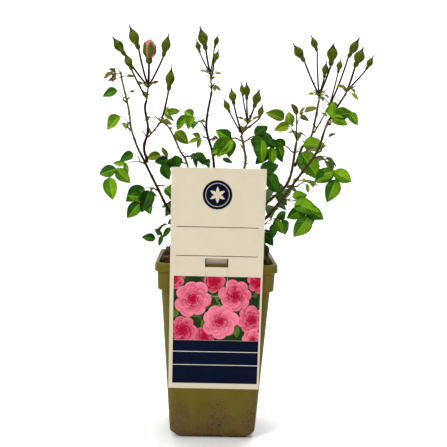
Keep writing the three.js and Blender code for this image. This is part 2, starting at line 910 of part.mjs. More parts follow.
// A compound leaf: a stalk that bends down by `sag`, leaflets in pairs and one at the end.
// Its blades lower their front edges, so that their upper faces turn to the front.
function compoundLeaf(base, [, turn, rise, reach, blade, count, roll, sag = LEAF_SAG], random) {
  const stalk = reach - blade * BLADE_REACH;
  const lean = Math.cos(THREE.MathUtils.degToRad(turn)) < 0 ? -1 : 1;
  const middle = base.clone().addScaledVector(direction(turn, rise), stalk * 0.5);
  const end = middle.clone().addScaledVector(direction(turn, rise - sag * 0.6), stalk * 0.5);
  const path = new THREE.QuadraticBezierCurve3(base, middle, end);
  const solids = [limb(path, RACHIS_RADIUS, RACHIS_RADIUS * 0.7, 3, 2)];
  const pairs = (count - 1) / 2;
  for (let k = 0; k <= pairs; k += 1) {
    const place = path.getPointAt(1 - PAIR_SPACING * k);
    const heading = rise - sag * (1 - PAIR_LIFT * k);
    const size = blade * (1 - PAIR_SHRINK * k) * random(0.92, 1.05);
    const sides = k === 0 ? [0] : [-1, 1];
    for (const hand of sides) {
      const along = direction(turn, heading);
      const [side, up] = bladeAxes(along, turn, roll * lean);
      const opening = PAIR_OPENING - PAIR_CLOSING * k + random(-6, 6);
      const open = THREE.MathUtils.degToRad(hand * opening);
      along.applyAxisAngle(up, open);
      side.applyAxisAngle(up, open);
      solids.push(leaflet(place, along, side, up, size));
    }
  }
  return fused(solids);
}

// A bud: a round hip below long sepals that close to a point.
function roseBud(base, along, length, width) {
  const profile = [[0, -BUD_SINK], [0.24, 0.1], [0.21, 0.22], [0.5, 0.45], [0.14, 0.8], [0, 1]];
  const points = profile.map(([r, z]) => new THREE.Vector2(r * width, z < 0 ? z : z * length));
  const geometry = new THREE.LatheGeometry(points, 5);
  const turned = new THREE.Quaternion().setFromUnitVectors(new THREE.Vector3(0, 1, 0), along);
  geometry.applyQuaternion(turned).translate(base.x, base.y, base.z);
  return solidOf(geometry);
}

// A pedicel that carries a bud, which leans by an angle of its own.
function buddedStalk(base, [, turn, rise, pedicel, length, width, lean = Math.min(88, rise + 6)]) {
  const middle = base.clone().addScaledVector(direction(turn, rise - 4), pedicel * 0.5);
  const end = middle.clone().addScaledVector(direction(turn, rise + 4), pedicel * 0.5);
  const path = new THREE.QuadraticBezierCurve3(base, middle, end);
  const radius = PEDICEL_THIN + PEDICEL_SHARE * width;
  const stalk = limb(path, radius, radius * 0.92, 3, 2);
  return stalk.add(roseBud(end, direction(turn, lean), length, width));
}

// One body: drops slivers and loose scraps, and fills any hollow that fused leaves close off.
function soundBody(solid) {
  const shells = solid.simplify(SHORTEST_EDGE).decompose();
  return shells.reduce((best, shell) => (shell.volume() > best.volume() ? shell : best));
}

const standing = [];

function clearOf(solid) {
  return standing.every((other) => solid.minGap(other, GAP) >= GAP);
}

function buildSprig(sprig, index) {
  const parent = limbs.get(sprig.on);
  const random = seeded(FIRST_SEED + SEED_STEP * index);
  const [length, turn, rise] = sprig.stem;
  const aim = parent.path.getPointAt(sprig.at).addScaledVector(direction(turn, rise), 10);
  const foot = springPoint(parent, sprig.at, aim, TWIG_RADIUS);
  const heading = direction(turn, rise);
  const tip = foot.clone().addScaledVector(heading, length);
  const stem = new THREE.LineCurve3(foot, tip);
  const solids = [limb(stem, TWIG_RADIUS, TWIG_RADIUS * 0.8, 4, 1)];
  const parts = [
    ...(sprig.leaves ?? []).map((leaf) => [leaf, compoundLeaf]),
    ...(sprig.buds ?? []).map((bud) => [bud, buddedStalk]),
  ];
  for (const [spec, build] of parts) {
    const base = stem.getPoint(Math.min(spec[0], 1 - 0.6 / length));
    const solid = build(base, spec, random);
    if (clearOf(solid)) solids.push(solid);
  }
  const whole = soundBody(fused(solids));
  standing.push(whole);
  return whole;
}

// ---- The whole plant in its pot ----

const root = new THREE.Group();

function addPiece(name, solid, finish) {
  standing.push(solid);
  root.add(meshOf(name, solid, finish));
}

addPiece('pot', buildPot(), OLIVE_PLASTIC);
addPiece('soil', buildSoil(), COMPOST);
addPiece('label_card', buildCard(), CREAM_CARD);
addPiece('stem_base', buildCrown(), WOOD);
for (const [name, bough] of limbs) addPiece(name, bough.solid, CANE_BARK);
SPRIGS.forEach((sprig, index) => {
  root.add(meshOf(sprig.name, buildSprig(sprig, index), sprig.buds ? BUD_GREEN : LEAF_GREEN));
});

export default root;
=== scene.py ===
import math
from contextlib import contextmanager

import bmesh
import bpy
from mathutils import Matrix, Vector, noise
from mathutils.bvhtree import BVHTree


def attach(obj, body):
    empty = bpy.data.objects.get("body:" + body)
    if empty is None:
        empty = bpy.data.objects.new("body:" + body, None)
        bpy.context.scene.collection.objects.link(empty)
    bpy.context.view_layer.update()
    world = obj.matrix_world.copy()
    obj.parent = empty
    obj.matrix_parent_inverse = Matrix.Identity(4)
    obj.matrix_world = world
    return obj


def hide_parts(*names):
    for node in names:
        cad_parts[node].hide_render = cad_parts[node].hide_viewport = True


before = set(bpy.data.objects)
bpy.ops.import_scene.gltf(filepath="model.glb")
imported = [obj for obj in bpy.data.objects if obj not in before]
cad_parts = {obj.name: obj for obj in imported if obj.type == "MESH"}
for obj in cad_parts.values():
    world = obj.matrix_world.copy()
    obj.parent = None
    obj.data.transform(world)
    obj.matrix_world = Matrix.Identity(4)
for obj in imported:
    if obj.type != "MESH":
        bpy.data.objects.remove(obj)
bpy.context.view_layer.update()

# ---- Studio: a pale seamless floor and wall, soft lamps and the camera ----
# The sweep is one curved sheet, so that no line shows behind the plant. The lamps are large
# and near, the brighter one high on the left, as by a north window.

MM = 0.001
IMAGE_SIDE = 447
FOCAL_PIXELS = 836
SENSOR_MM = 36.0
CAMERA_PLACE = Vector((-12.69, -920.06, 315.6)) * MM
CAMERA_YAW = math.radians(1.252)
CAMERA_PITCH = math.radians(5.382)
CAMERA_ROLL = math.radians(1.451)
SWEEP_WIDTH = 6.0
SWEEP_FRONT = -2.5
SWEEP_BACK = 1.6
SWEEP_BEND = 0.9
SWEEP_TOP = 4.0
WHITE_PAPER = (0.93, 0.93, 0.925, 1.0)
PALE_SKY = (0.96, 0.98, 1.0, 1.0)
SKY_STRENGTH = 0.45
BEND_STEPS = 12


def turned_camera():
    """The camera's place and aim: yaw and pitch first, then the roll about its own axis."""
    ahead = Vector((
        math.sin(CAMERA_YAW) * math.cos(CAMERA_PITCH),
        math.cos(CAMERA_YAW) * math.cos(CAMERA_PITCH),
        -math.sin(CAMERA_PITCH),
    ))
    level = Vector((math.cos(CAMERA_YAW), -math.sin(CAMERA_YAW), 0.0))
    upward = level.cross(ahead)
    right = level * math.cos(CAMERA_ROLL) + upward * math.sin(CAMERA_ROLL)
    up = upward * math.cos(CAMERA_ROLL) - level * math.sin(CAMERA_ROLL)
    turn = Matrix((right, up, -ahead)).transposed().to_4x4()
    return Matrix.Translation(CAMERA_PLACE) @ turn


scene = bpy.context.scene
camera_data = bpy.data.cameras.new("camera")
camera_data.sensor_width = SENSOR_MM
camera_data.lens = SENSOR_MM * FOCAL_PIXELS / IMAGE_SIDE
camera_data.clip_start = 0.02
camera = bpy.data.objects.new("camera", camera_data)
camera.matrix_world = turned_camera()
scene.collection.objects.link(camera)
scene.camera = camera
scene.view_settings.view_transform = "Standard"


def new_object(name, points, faces):
    """An object in the scene, from points in metres."""
    mesh = bpy.data.meshes.new(name)
    mesh.from_pydata([tuple(p) for p in points], [], faces)
    mesh.validate()
    made = bpy.data.objects.new(name, mesh)
    scene.collection.objects.link(made)
    return made


def new_material(name, roughness, specular=0.5):
    """A material, its node tree and its shader."""
    made = bpy.data.materials.new(name)
    made.use_nodes = True
    shader = made.node_tree.nodes["Principled BSDF"]
    shader.inputs["Roughness"].default_value = roughness
    shader.inputs["Specular IOR Level"].default_value = specular
    return made, made.node_tree, shader


def add_node(tree, kind, *fed, **values):
    """A node with its settings and inputs; fed fills inputs in order, and a socket is linked."""
    made = tree.nodes.new(kind)
    named = {}
    for key, value in values.items():
        if hasattr(made, key):
            setattr(made, key, value)
        else:
            named[key.replace("_", " ")] = value
    inputs = list(zip(made.inputs, fed)) + [(made.inputs[key], value) for key, value in named.items()]
    for socket, value in inputs:
        if isinstance(value, bpy.types.NodeSocket):
            tree.links.new(value, socket)
        else:
            socket.default_value = value
    return made


def smooth_shaded(mesh):
    mesh.polygons.foreach_set("use_smooth", [True] * len(mesh.polygons))


def sweep_outline():
    """The sweep seen from its side: floor, quarter round and wall."""
    outline = [(SWEEP_FRONT, 0.0)]
    for i in range(BEND_STEPS + 1):
        angle = math.pi / 2 * i / BEND_STEPS
        outline.append((
            SWEEP_BACK - SWEEP_BEND + SWEEP_BEND * math.sin(angle),
            SWEEP_BEND - SWEEP_BEND * math.cos(angle),
        ))
    outline.append((SWEEP_BACK, SWEEP_TOP))
    return outline


outline = sweep_outline()
points = [(side * SWEEP_WIDTH / 2, y, z) for y, z in outline for side in (-1, 1)]
faces = [(2 * i, 2 * i + 1, 2 * i + 3, 2 * i + 2) for i in range(len(outline) - 1)]
sweep = new_object("sweep", points, faces)
smooth_shaded(sweep.data)
paper, tree, shader = new_material("paper_sweep", 0.9)
shader.inputs["Base Color"].default_value = WHITE_PAPER
sweep.data.materials.append(paper)

world = bpy.data.worlds.new("studio_air")
world.use_nodes = True
sky = world.node_tree.nodes["Background"]
sky.inputs["Color"].default_value = PALE_SKY
sky.inputs["Strength"].default_value = SKY_STRENGTH
scene.world = world

for name, place, aim, size, power, tint in (
    ("key_lamp", (-1.1, -1.3, 1.5), (0, 0, 0.25), 0.8, 27.0, (1.0, 0.985, 0.96)),
    ("fill_lamp", (1.5, -1.1, 0.9), (0, 0, 0.25), 1.2, 3.0, (0.95, 0.98, 1.0)),
    ("back_lamp", (0.5, 0.9, 1.5), (0, 0, 0.25), 0.9, 10.0, (1.0, 1.0, 1.0)),
    ("wall_lamp", (0.0, 0.4, 2.4), (0, 1.5, 0.4), 1.6, 42.0, (1.0, 1.0, 1.0)),
):
    lamp_data = bpy.data.lights.new(name, "AREA")
    lamp_data.shape = "DISK"
    lamp_data.size = size
    lamp_data.energy = power
    lamp_data.color = tint
    lamp = bpy.data.objects.new(name, lamp_data)
    lamp.location = place
    lamp.rotation_euler = (Vector(aim) - Vector(place)).to_track_quat("-Z", "Y").to_euler()
    scene.collection.objects.link(lamp)

# ---- Pot: a tall square nursery pot, blown in thin olive plastic ----
# Its body tapers to a chamfered foot with a notch in the middle of each side; a collar and a
# lip stiffen its mouth. It is one moulding, with four drain holes through the floor.

POT_HEIGHT = 192
POT_FOOT_HALF = 39
POT_CHAMFER = 7
POT_COLLAR_Z = 163
POT_BODY_TOP_HALF = 57.5
POT_COLLAR_HALF = 61
POT_LIP_Z = 183
POT_LIP_HALF = 64.5
POT_WALL = 2
POT_FLOOR = 3
POT_NOTCH_WIDTH = 22
POT_NOTCH_HEIGHT = 3
DRAIN_RADIUS = 5
DRAIN_SHARE = 0.6
POT_KNEE_Z = POT_CHAMFER + 1
POT_STEP_Z = POT_COLLAR_Z + 3
POT_FLOOR_HALF = POT_FOOT_HALF + POT_FLOOR - 1.4 * POT_WALL
CORNER_SHARE = 0.2
CORNER_STEPS = 8
POT_OLIVE = (0.092, 0.073, 0.004, 1.0)
POT_OLIVE_PALE = (0.125, 0.1, 0.01, 1.0)
POT_DUST = (0.115, 0.073, 0.026, 1.0)
POT_SPECK = (0.028, 0.016, 0.008, 1.0)
POT_DUSTY_Z = (0.055, 0.01)


def in_frame(x, y, z):
    """A place given in millimetres, in the frame's metres."""
    return Vector((x, y, z)) * MM


def body_half(z):
    """Half the width of the pot's body at a height."""
    slope = (POT_BODY_TOP_HALF - POT_FOOT_HALF - POT_CHAMFER) / (POT_COLLAR_Z - POT_CHAMFER)
    return POT_FOOT_HALF + POT_CHAMFER + (z - POT_CHAMFER) * slope


def tube_faces(rows, sides, start=0):
    """Faces between the neighbouring rings of a tube that is a number of rows long."""
    faces = []
    for row in range(rows):
        for i in range(sides):
            a = start + row * sides + i
            b = start + row * sides + (i + 1) % sides
            faces.append((a, b, b + sides, a + sides))
    return faces


def rounded_square(half, radius):
    """Points round a square with rounded corners."""
    ring = []
    for k, (sx, sy) in enumerate(((1, -1), (1, 1), (-1, 1), (-1, -1))):
        for i in range(CORNER_STEPS + 1):
            angle = math.pi / 2 * (k - 1 + i / CORNER_STEPS)
            ring.append((
                sx * (half - radius) + radius * math.cos(angle),
                sy * (half - radius) + radius * math.sin(angle),
            ))
    return ring


def lofted(sections):
    """Points and faces of a closed skin through (z, half, radius) sections of a rounded square."""
    points = []
    for z, half, radius in sections:
        points += [in_frame(x, y, z) for x, y in rounded_square(half, radius)]
    n = 4 * (CORNER_STEPS + 1)
    last = (len(sections) - 1) * n
    ends = [tuple(reversed(range(n))), tuple(range(last, last + n))]
    return points, tube_faces(len(sections) - 1, n) + ends


@contextmanager
def edited(mesh):
    """Opens a mesh for work on its points and faces, and puts the outcome back."""
    shape = bmesh.new()
    shape.from_mesh(mesh)
    yield shape
    shape.to_mesh(mesh)
    shape.free()


def shade_by_angle(piece, degrees=35):
    """Shades a piece smooth, save where its faces meet more sharply than an angle."""
    with edited(piece.data) as shape:
        bmesh.ops.recalc_face_normals(shape, faces=shape.faces)
        for face in shape.faces:
            face.smooth = True
        for edge in shape.edges:
            if len(edge.link_faces) == 2:
                edge.smooth = edge.calc_face_angle() < math.radians(degrees)


def seat_piece(piece, slot, *nodes):
    """Hangs the piece on the root body and hides the imported parts that it stands for; its slot is not
    used.
    """
    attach(piece, "root")
    if nodes:
        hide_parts(*nodes)


def plain_mesh(piece):
    """The mesh that a piece's modifiers leave."""
    return bpy.data.meshes.new_from_object(piece.evaluated_get(bpy.context.evaluated_depsgraph_get()))


def cut_with(piece, cutter):
    """Takes the cutter's body away from a piece for good."""
    modifier = piece.modifiers.new("cut", "BOOLEAN")
    modifier.operation = "DIFFERENCE"
    modifier.solver = "EXACT"
    modifier.object = cutter
    cut = plain_mesh(piece)
    piece.modifiers.remove(modifier)
    piece.data = cut
    bpy.data.objects.remove(cutter)


def pot_sections():
    """The wall from the foot up to the lip and down again inside, its edges eased by tenths."""
    outside = [
        (0, POT_FOOT_HALF - 0.6), (0.25, POT_FOOT_HALF + 0.1),
        (POT_CHAMFER - 0.8, body_half(POT_CHAMFER - 1) - 0.7),
        (POT_CHAMFER + 0.8, body_half(POT_CHAMFER + 1) - 0.05),
        (POT_COLLAR_Z / 3, body_half(POT_COLLAR_Z / 3)),
        (2 * POT_COLLAR_Z / 3, body_half(2 * POT_COLLAR_Z / 3)),
        (POT_COLLAR_Z - 0.9, POT_BODY_TOP_HALF - 0.05), (POT_COLLAR_Z - 0.1, POT_BODY_TOP_HALF + 0.6),
        (POT_COLLAR_Z + 0.1, POT_COLLAR_HALF - 0.6), (POT_COLLAR_Z + 0.8, POT_COLLAR_HALF),
        (POT_LIP_Z - 0.6, POT_COLLAR_HALF + 0.9), (POT_LIP_Z, POT_COLLAR_HALF + 1.5),
        (POT_LIP_Z + 0.1, POT_LIP_HALF - 0.6), (POT_LIP_Z + 0.8, POT_LIP_HALF),
        (POT_HEIGHT - 0.9, POT_LIP_HALF - 0.3), (POT_HEIGHT - 0.25, POT_LIP_HALF - 0.6),
        (POT_HEIGHT, POT_LIP_HALF - 1.2),
    ]
    inside = [
        (POT_HEIGHT, POT_COLLAR_HALF - 0.3), (POT_HEIGHT - 0.8, POT_COLLAR_HALF - 1),
        (POT_STEP_Z + 0.6, POT_COLLAR_HALF - POT_WALL), (POT_STEP_Z, POT_COLLAR_HALF - POT_WALL - 0.6),
        (POT_STEP_Z, POT_BODY_TOP_HALF - POT_WALL), (POT_KNEE_Z, body_half(POT_KNEE_Z) - POT_WALL),
        (POT_FLOOR, POT_FLOOR_HALF),
    ]
    return [(z, half, half * CORNER_SHARE) for z, half in outside + inside]


def pot_cutter():
    """The four drain holes and the four notches, as bodies to cut away."""
    cutter = new_object("pot_cutter", [], [])
    drain = POT_FOOT_HALF * DRAIN_SHARE
    wall = POT_FOOT_HALF + POT_CHAMFER / 2
    notch = in_frame(POT_NOTCH_WIDTH, 2 * POT_CHAMFER, 2 * POT_NOTCH_HEIGHT)
    with edited(cutter.data) as shape:
        for sx in (-1, 1):
            for sy in (-1, 1):
                bmesh.ops.create_cone(
                    shape, cap_ends=True, segments=32, radius1=DRAIN_RADIUS * MM,
                    radius2=DRAIN_RADIUS * MM, depth=4 * POT_FLOOR * MM,
                    matrix=Matrix.Translation(in_frame(sx * drain, sy * drain, 0)))
        for turn in range(4):
            place = Matrix.Rotation(turn * math.pi / 2, 4, "Z") @ Matrix.Translation(in_frame(0, wall, 0))
            size = Matrix.Diagonal((*notch, 1))
            bmesh.ops.create_cube(shape, size=1, matrix=place @ size)
    return cutter


def worked(tree, operation, *fed, clamp=False):
    """The outcome of a sum on values or sockets."""
    return add_node(tree, "ShaderNodeMath", *fed, operation=operation, use_clamp=clamp).outputs[0]


def multiplied(tree, first, second):
    return worked(tree, "MULTIPLY", first, second)


def spread_to(tree, value, low, high, out_low=0.0, out_high=1.0):
    """A value carried from low..high to out_low..out_high, and held at its ends."""
    return add_node(tree, "ShaderNodeMapRange", value, low, high, out_low, out_high).outputs["Result"]


def blended(tree, factor, colour_a, colour_b):
    """A colour between two, each a socket or a plain colour."""
    mix = add_node(tree, "ShaderNodeMix", data_type="RGBA", Factor=factor, A=colour_a, B=colour_b)
    return mix.outputs["Result"]


def new_group(kind, name, inputs, outputs):
    """An empty node group and the sockets that feed it: inputs are (name, sort, value)."""
    group = bpy.data.node_groups.new(name, kind)
    for socket, sort, value in inputs:
        made = group.interface.new_socket(socket, in_out="INPUT", socket_type="NodeSocket" + sort)
        if value is not None:
            made.default_value = value
    for socket, sort in outputs:
        group.interface.new_socket(socket, in_out="OUTPUT", socket_type="NodeSocket" + sort)
    return group, group.nodes.new("NodeGroupInput").outputs


def mottle_group():
    """Two colours clouded into each other, with the mask and a fine grain beside it."""
    group, feed = new_group(
        "ShaderNodeTree", "mottle",
        [("Vector", "Vector", None), ("Scale", "Float", 40.0), ("Contrast", "Float", 0.5),
         ("Grain Scale", "Float", 600.0), ("Colour A", "Color", (0.2, 0.2, 0.2, 1)),
         ("Colour B", "Color", (0.4, 0.4, 0.4, 1))],
        [("Colour", "Color"), ("Mask", "Float"), ("Grain", "Float")])
    place = feed["Vector"]
    cloud = add_node(
        group, "ShaderNodeTexNoise", Vector=place, Scale=feed["Scale"], Detail=5.0, Roughness=0.6)
    grain = add_node(group, "ShaderNodeTexNoise", Vector=place, Scale=feed["Grain Scale"], Detail=2.0)
    low = worked(group, "MULTIPLY_ADD", feed["Contrast"], 0.4, 0.1)
    high = worked(group, "MULTIPLY_ADD", feed["Contrast"], -0.4, 0.9)
    mask = spread_to(group, cloud.outputs["Fac"], low, high)
    colour = blended(group, mask, feed["Colour A"], feed["Colour B"])
    add_node(group, "NodeGroupOutput", Colour=colour, Mask=mask, Grain=grain.outputs["Fac"])
    return group


MOTTLE = mottle_group()


def own_place(tree):
    """A piece's own coordinates, in metres."""
    return add_node(tree, "ShaderNodeTexCoord").outputs["Object"]


def add_mottle(tree, colours, scale, contrast, grain):
    """The outputs of a mottle over a piece, between two colours where it is to give one."""
    made = add_node(
        tree, "ShaderNodeGroup", node_tree=MOTTLE, Vector=own_place(tree), Scale=scale,
        Contrast=contrast, Grain_Scale=grain)
    for socket, colour in zip(("Colour A", "Colour B"), colours):
        made.inputs[socket].default_value = colour
    return made.outputs


def dress(tree, shader, colour, roughness, height, depth, strength):
    """Gives a shader its colour, its roughness and the bump of a height."""
    bump = add_node(tree, "ShaderNodeBump", Strength=strength, Distance=depth, Height=height)
    tree.links.new(colour, shader.inputs["Base Color"])
    tree.links.new(roughness, shader.inputs["Roughness"])
    tree.links.new(bump.outputs["Normal"], shader.inputs["Normal"])


def pot_plastic():
    """Olive plastic, dusted and speckled with peat towards the foot."""
    made, tree, shader = new_material("pot_olive_plastic", 0.4, specular=0.08)
    place = own_place(tree)
    cloud = add_mottle(tree, (POT_OLIVE, POT_OLIVE_PALE), scale=28.0, contrast=0.55, grain=900.0)
    height = add_node(tree, "ShaderNodeSeparateXYZ", place).outputs["Z"]
    low_down = spread_to(tree, height, *POT_DUSTY_Z)
    specks = add_node(tree, "ShaderNodeTexVoronoi", Vector=place, Scale=620.0, Randomness=1.0)
    flecks = spread_to(tree, specks.outputs["Distance"], 0.42, 0.24)
    drawn = add_node(tree, "ShaderNodeMapping", Vector=place, Scale=(1.0, 1.0, 0.4)).outputs["Vector"]
    patchy = add_node(tree, "ShaderNodeTexNoise", Vector=drawn, Scale=70.0, Detail=7.0, Roughness=0.72)
    patches = patchy.outputs["Fac"]
    soiled = spread_to(tree, patches, 0.36, 0.54)
    dusty = multiplied(tree, soiled, spread_to(tree, low_down, 0.0, 0.8, 0.08, 1.0))
    scattered = multiplied(tree, flecks, spread_to(tree, patches, 0.44, 0.56))
    marked = multiplied(tree, scattered, spread_to(tree, low_down, 0.0, 0.8, 0.2, 1.0))
    colour = blended(tree, marked, blended(tree, dusty, cloud["Colour"], POT_DUST), POT_SPECK)
    sheen = spread_to(tree, dusty, 0.0, 0.7, 0.42, 0.8)
    dress(tree, shader, colour, sheen, cloud["Grain"], depth=0.0002, strength=0.35)
    return made


pot = new_object("nursery_pot", *lofted(pot_sections()))
shade_by_angle(pot)
cut_with(pot, pot_cutter())
shade_by_angle(pot, 28)
pot.data.materials.clear()
pot.data.materials.append(pot_plastic())
seat_piece(pot, "pot_plastic", "pot")

# ---- Compost: dark peat and bark, heaped higher than the rim at the left ----
# One closed body fills the pot. Crumbs, bark chips and root fibres lie loose on its surface.

SOIL_EDGE = 183
SOIL_CLEAR = 0.5
SOIL_RINGS = 46
SOIL_SECTORS = 176
# Each mound: middle x and y, reach along x and y, height over the edge.
MOUNDS = (
    (0, 2, 52, 50, 5.0),
    (-42, -14, 16.7, 44, 24.5),
    (-18, 34, 30, 22, 11.5),
    (41, -16, 17, 42, 11.5),
    (28, 34, 26, 22, 9.5),
)
PEBBLE_RADIUS = 0.001
PEBBLE_DENT = 0.0011
FULL_TURNS = (6.28, 6.28, 6.28)
COMPOST_DARK = (0.01, 0.005, 0.003, 1.0)
COMPOST_BROWN = (0.045, 0.022, 0.012, 1.0)
BARK_CHIP = (0.13, 0.07, 0.036, 1.0)
FIBRE_STRAW = (0.28, 0.19, 0.1, 1.0)


def soil_height(x, y):
    """The compost's height: the highest mounds blended, with lumps and crumbs on them."""
    total = 0.0
    for centre_x, centre_y, reach_x, reach_y, height in MOUNDS:
        share = ((x - centre_x) / reach_x) ** 2 + ((y - centre_y) / reach_y) ** 2
        if share < 1:
            total += (height * math.sqrt(1 - share)) ** 6
    lump = noise.noise(Vector((x, y, 4.0)) * 0.13) * 1.3
    crumb = noise.noise(Vector((x, y, 9.0)) * 0.4) * 0.8
    return SOIL_EDGE + total ** (1 / 6) + lump + crumb


def around(count):
    """Angles evenly round a circle."""
    return [2 * math.pi * i / count for i in range(count)]


def square_reach(angle, half, radius):
    """Distance from the middle to a rounded square's edge, in the direction of the angle."""
    c, s = abs(math.cos(angle)), abs(math.sin(angle))
    straight = half / max(c, s)
    inner = half - radius
    if straight * min(c, s) <= inner:
        return straight
    along = inner * (c + s)
    return along + math.sqrt(along * along - 2 * inner * inner + radius * radius)


def soil_skin():
    """Points and faces of the compost: rings out from the middle, then down inside the pot."""
    points = [in_frame(0, 0, soil_height(0, 0))]
    faces = []
    mouth = POT_COLLAR_HALF - POT_WALL - SOIL_CLEAR
    walls = [
        (SOIL_EDGE - 4, mouth), (POT_STEP_Z + SOIL_CLEAR, mouth),
        (POT_STEP_Z - 1, POT_BODY_TOP_HALF - POT_WALL - SOIL_CLEAR),
        (POT_KNEE_Z, body_half(POT_KNEE_Z) - POT_WALL - SOIL_CLEAR),
        (POT_FLOOR + SOIL_CLEAR, POT_FLOOR_HALF - SOIL_CLEAR),
    ]
    angles = around(SOIL_SECTORS)
    for ring in range(1, SOIL_RINGS + 1):
        share = ring / SOIL_RINGS
        for angle in angles:
            reach = share * square_reach(angle, mouth, mouth * CORNER_SHARE)
            x, y = reach * math.cos(angle), reach * math.sin(angle)
            points.append(in_frame(x, y, soil_height(x, y)))
    for z, half in walls:
        for angle in angles:
            reach = square_reach(angle, half, half * CORNER_SHARE)
            points.append(in_frame(reach * math.cos(angle), reach * math.sin(angle), z))
    rows = SOIL_RINGS + len(walls)
    for i in range(SOIL_SECTORS):
        j = (i + 1) % SOIL_SECTORS
        faces.append((0, 1 + i, 1 + j))
        for row in range(rows - 1):
            a = 1 + row * SOIL_SECTORS
            faces.append((a + i, a + SOIL_SECTORS + i, a + SOIL_SECTORS + j, a + j))
    last = 1 + (rows - 1) * SOIL_SECTORS
    faces.append(tuple(reversed(range(last, last + SOIL_SECTORS))))
    return points, faces


def earthy(name, dark, pale, scale, roughness, bump):
    """Peat, bark or root: clouded, grainy and dull."""
    made, tree, shader = new_material(name, roughness, specular=0.05)
    cloud = add_mottle(tree, (dark, pale), scale=scale, contrast=0.7, grain=scale * 6)
    dulled = spread_to(tree, cloud["Mask"], 0.0, 1.0, roughness - 0.12, roughness)
    dress(tree, shader, cloud["Colour"], dulled, cloud["Grain"], depth=bump, strength=0.8)
    return made


def set_on_points(tree, feed, points, bit, turn, size):
    """Ends a tree: a bit on every point, all of them made real and given their finish."""
    placed = add_node(
        tree, "GeometryNodeInstanceOnPoints", Points=points, Instance=bit, Rotation=turn, Scale=size)
    real = add_node(tree, "GeometryNodeRealizeInstances", Geometry=placed.outputs["Instances"])
    finished = add_node(
        tree, "GeometryNodeSetMaterial", Geometry=real.outputs["Geometry"], Material=feed["Finish"])
    add_node(tree, "NodeGroupOutput", finished.outputs["Geometry"])


def scatter_tree():
    """Strews rough pebbles over a surface: few or many, large or small, round or long."""
    tree, feed = new_group(
        "GeometryNodeTree", "strewn_bits",
        [("Surface", "Geometry", None), ("Bits per Square Metre", "Float", 9000.0),
         ("Smallest", "Float", 0.4), ("Largest", "Float", 1.0), ("Stretch", "Vector", (1.0, 1.0, 1.0)),
         ("Seed", "Int", 1), ("Finish", "Material", None)],
        [("Bits", "Geometry")])
    spread = add_node(
        tree, "GeometryNodeDistributePointsOnFaces", Mesh=feed["Surface"],
        Density=feed["Bits per Square Metre"], Seed=feed["Seed"])
    lump = add_node(tree, "GeometryNodeMeshIcoSphere", Radius=PEBBLE_RADIUS, Subdivisions=2)
    dent = add_node(tree, "ShaderNodeTexNoise", Scale=900.0).outputs["Color"]
    centred = add_node(tree, "ShaderNodeVectorMath", dent, (0.5, 0.5, 0.5), operation="SUBTRACT")
    small = add_node(
        tree, "ShaderNodeVectorMath", centred.outputs[0], operation="SCALE", Scale=PEBBLE_DENT)
    rough = add_node(
        tree, "GeometryNodeSetPosition", Geometry=lump.outputs["Mesh"], Offset=small.outputs[0])
    size = add_node(
        tree, "FunctionNodeRandomValue", Min=feed["Smallest"], Max=feed["Largest"], Seed=feed["Seed"])
    turn = add_node(
        tree, "FunctionNodeRandomValue", data_type="FLOAT_VECTOR", Max=FULL_TURNS, Seed=feed["Seed"])
    stretched = add_node(
        tree, "ShaderNodeVectorMath", feed["Stretch"], operation="SCALE", Scale=size.outputs["Value"])
    set_on_points(
        tree, feed, spread.outputs["Points"], rough.outputs["Geometry"], turn.outputs["Value"],
        stretched.outputs[0])
    return tree


def grown_on(name, surface, tree, **values):
    """Runs a node tree on a copy of a surface and keeps the outcome as a plain mesh."""
    carrier = bpy.data.objects.new(name, surface.data.copy())
    scene.collection.objects.link(carrier)
    modifier = carrier.modifiers.new("growth", "NODES")
    modifier.node_group = tree
    for socket in tree.interface.items_tree:
        if socket.name in values:
            modifier[socket.identifier] = values[socket.name]
    grown = plain_mesh(carrier)
    carrier.modifiers.remove(modifier)
    carrier.data = grown
    smooth_shaded(grown)
    return carrier


soil_points, soil_faces = soil_skin()
compost = new_object("compost_body", soil_points, soil_faces)
smooth_shaded(compost.data)
compost.data.materials.append(earthy("compost", COMPOST_DARK, COMPOST_BROWN, 130.0, 0.95, 0.0012))
seat_piece(compost, "compost", "soil")

top_faces = [f for f in soil_faces if max(f) <= (SOIL_RINGS - 2) * SOIL_SECTORS]
soil_top = new_object("soil_top", soil_points, top_faces)
SCATTER = scatter_tree()
for name, count, smallest, largest, stretch, seed, finish in (
    ("compost_crumbs", 130000.0, 0.35, 1.3, (1.0, 0.85, 0.7), 3,
     earthy("peat_crumb", COMPOST_DARK, COMPOST_BROWN, 260.0, 0.95, 0.0006)),
    ("bark_chips", 17000.0, 0.6, 1.5, (2.6, 1.1, 0.4), 5,
     earthy("bark_chip", COMPOST_BROWN, BARK_CHIP, 200.0, 0.8, 0.0006)),
    ("root_fibres", 9000.0, 0.5, 1.0, (9.0, 0.3, 0.3), 8,
     earthy("root_fibre", BARK_CHIP, FIBRE_STRAW, 200.0, 0.8, 0.0003)),
):
    strewn = {"Bits per Square Metre": count, "Stretch": stretch, "Finish": finish}
    bits = grown_on(name, soil_top, SCATTER, Smallest=smallest, Largest=largest, Seed=seed, **strewn)
    seat_piece(bits, "compost")
bpy.data.objects.remove(soil_top)

# ---- Card: a stiff printed board that leans on the pot and hooks over its rim ----
# The board is die-cut, with a window and a tongue below it; the strip from the window goes back
# over the lip. Its print is a plain disc, a picture of full-blown roses and a dark foot.

CARD_WIDTH = 96
CARD_HEIGHT = 237
CARD_THICKNESS = 0.7
CARD_FOOT_Z = 57
CARD_LEAN = math.radians(6.9)
WINDOW_WIDTH = 24
WINDOW_FOOT = 133.7
WINDOW_HEAD = 143.2
INK_LIFT = 0.04
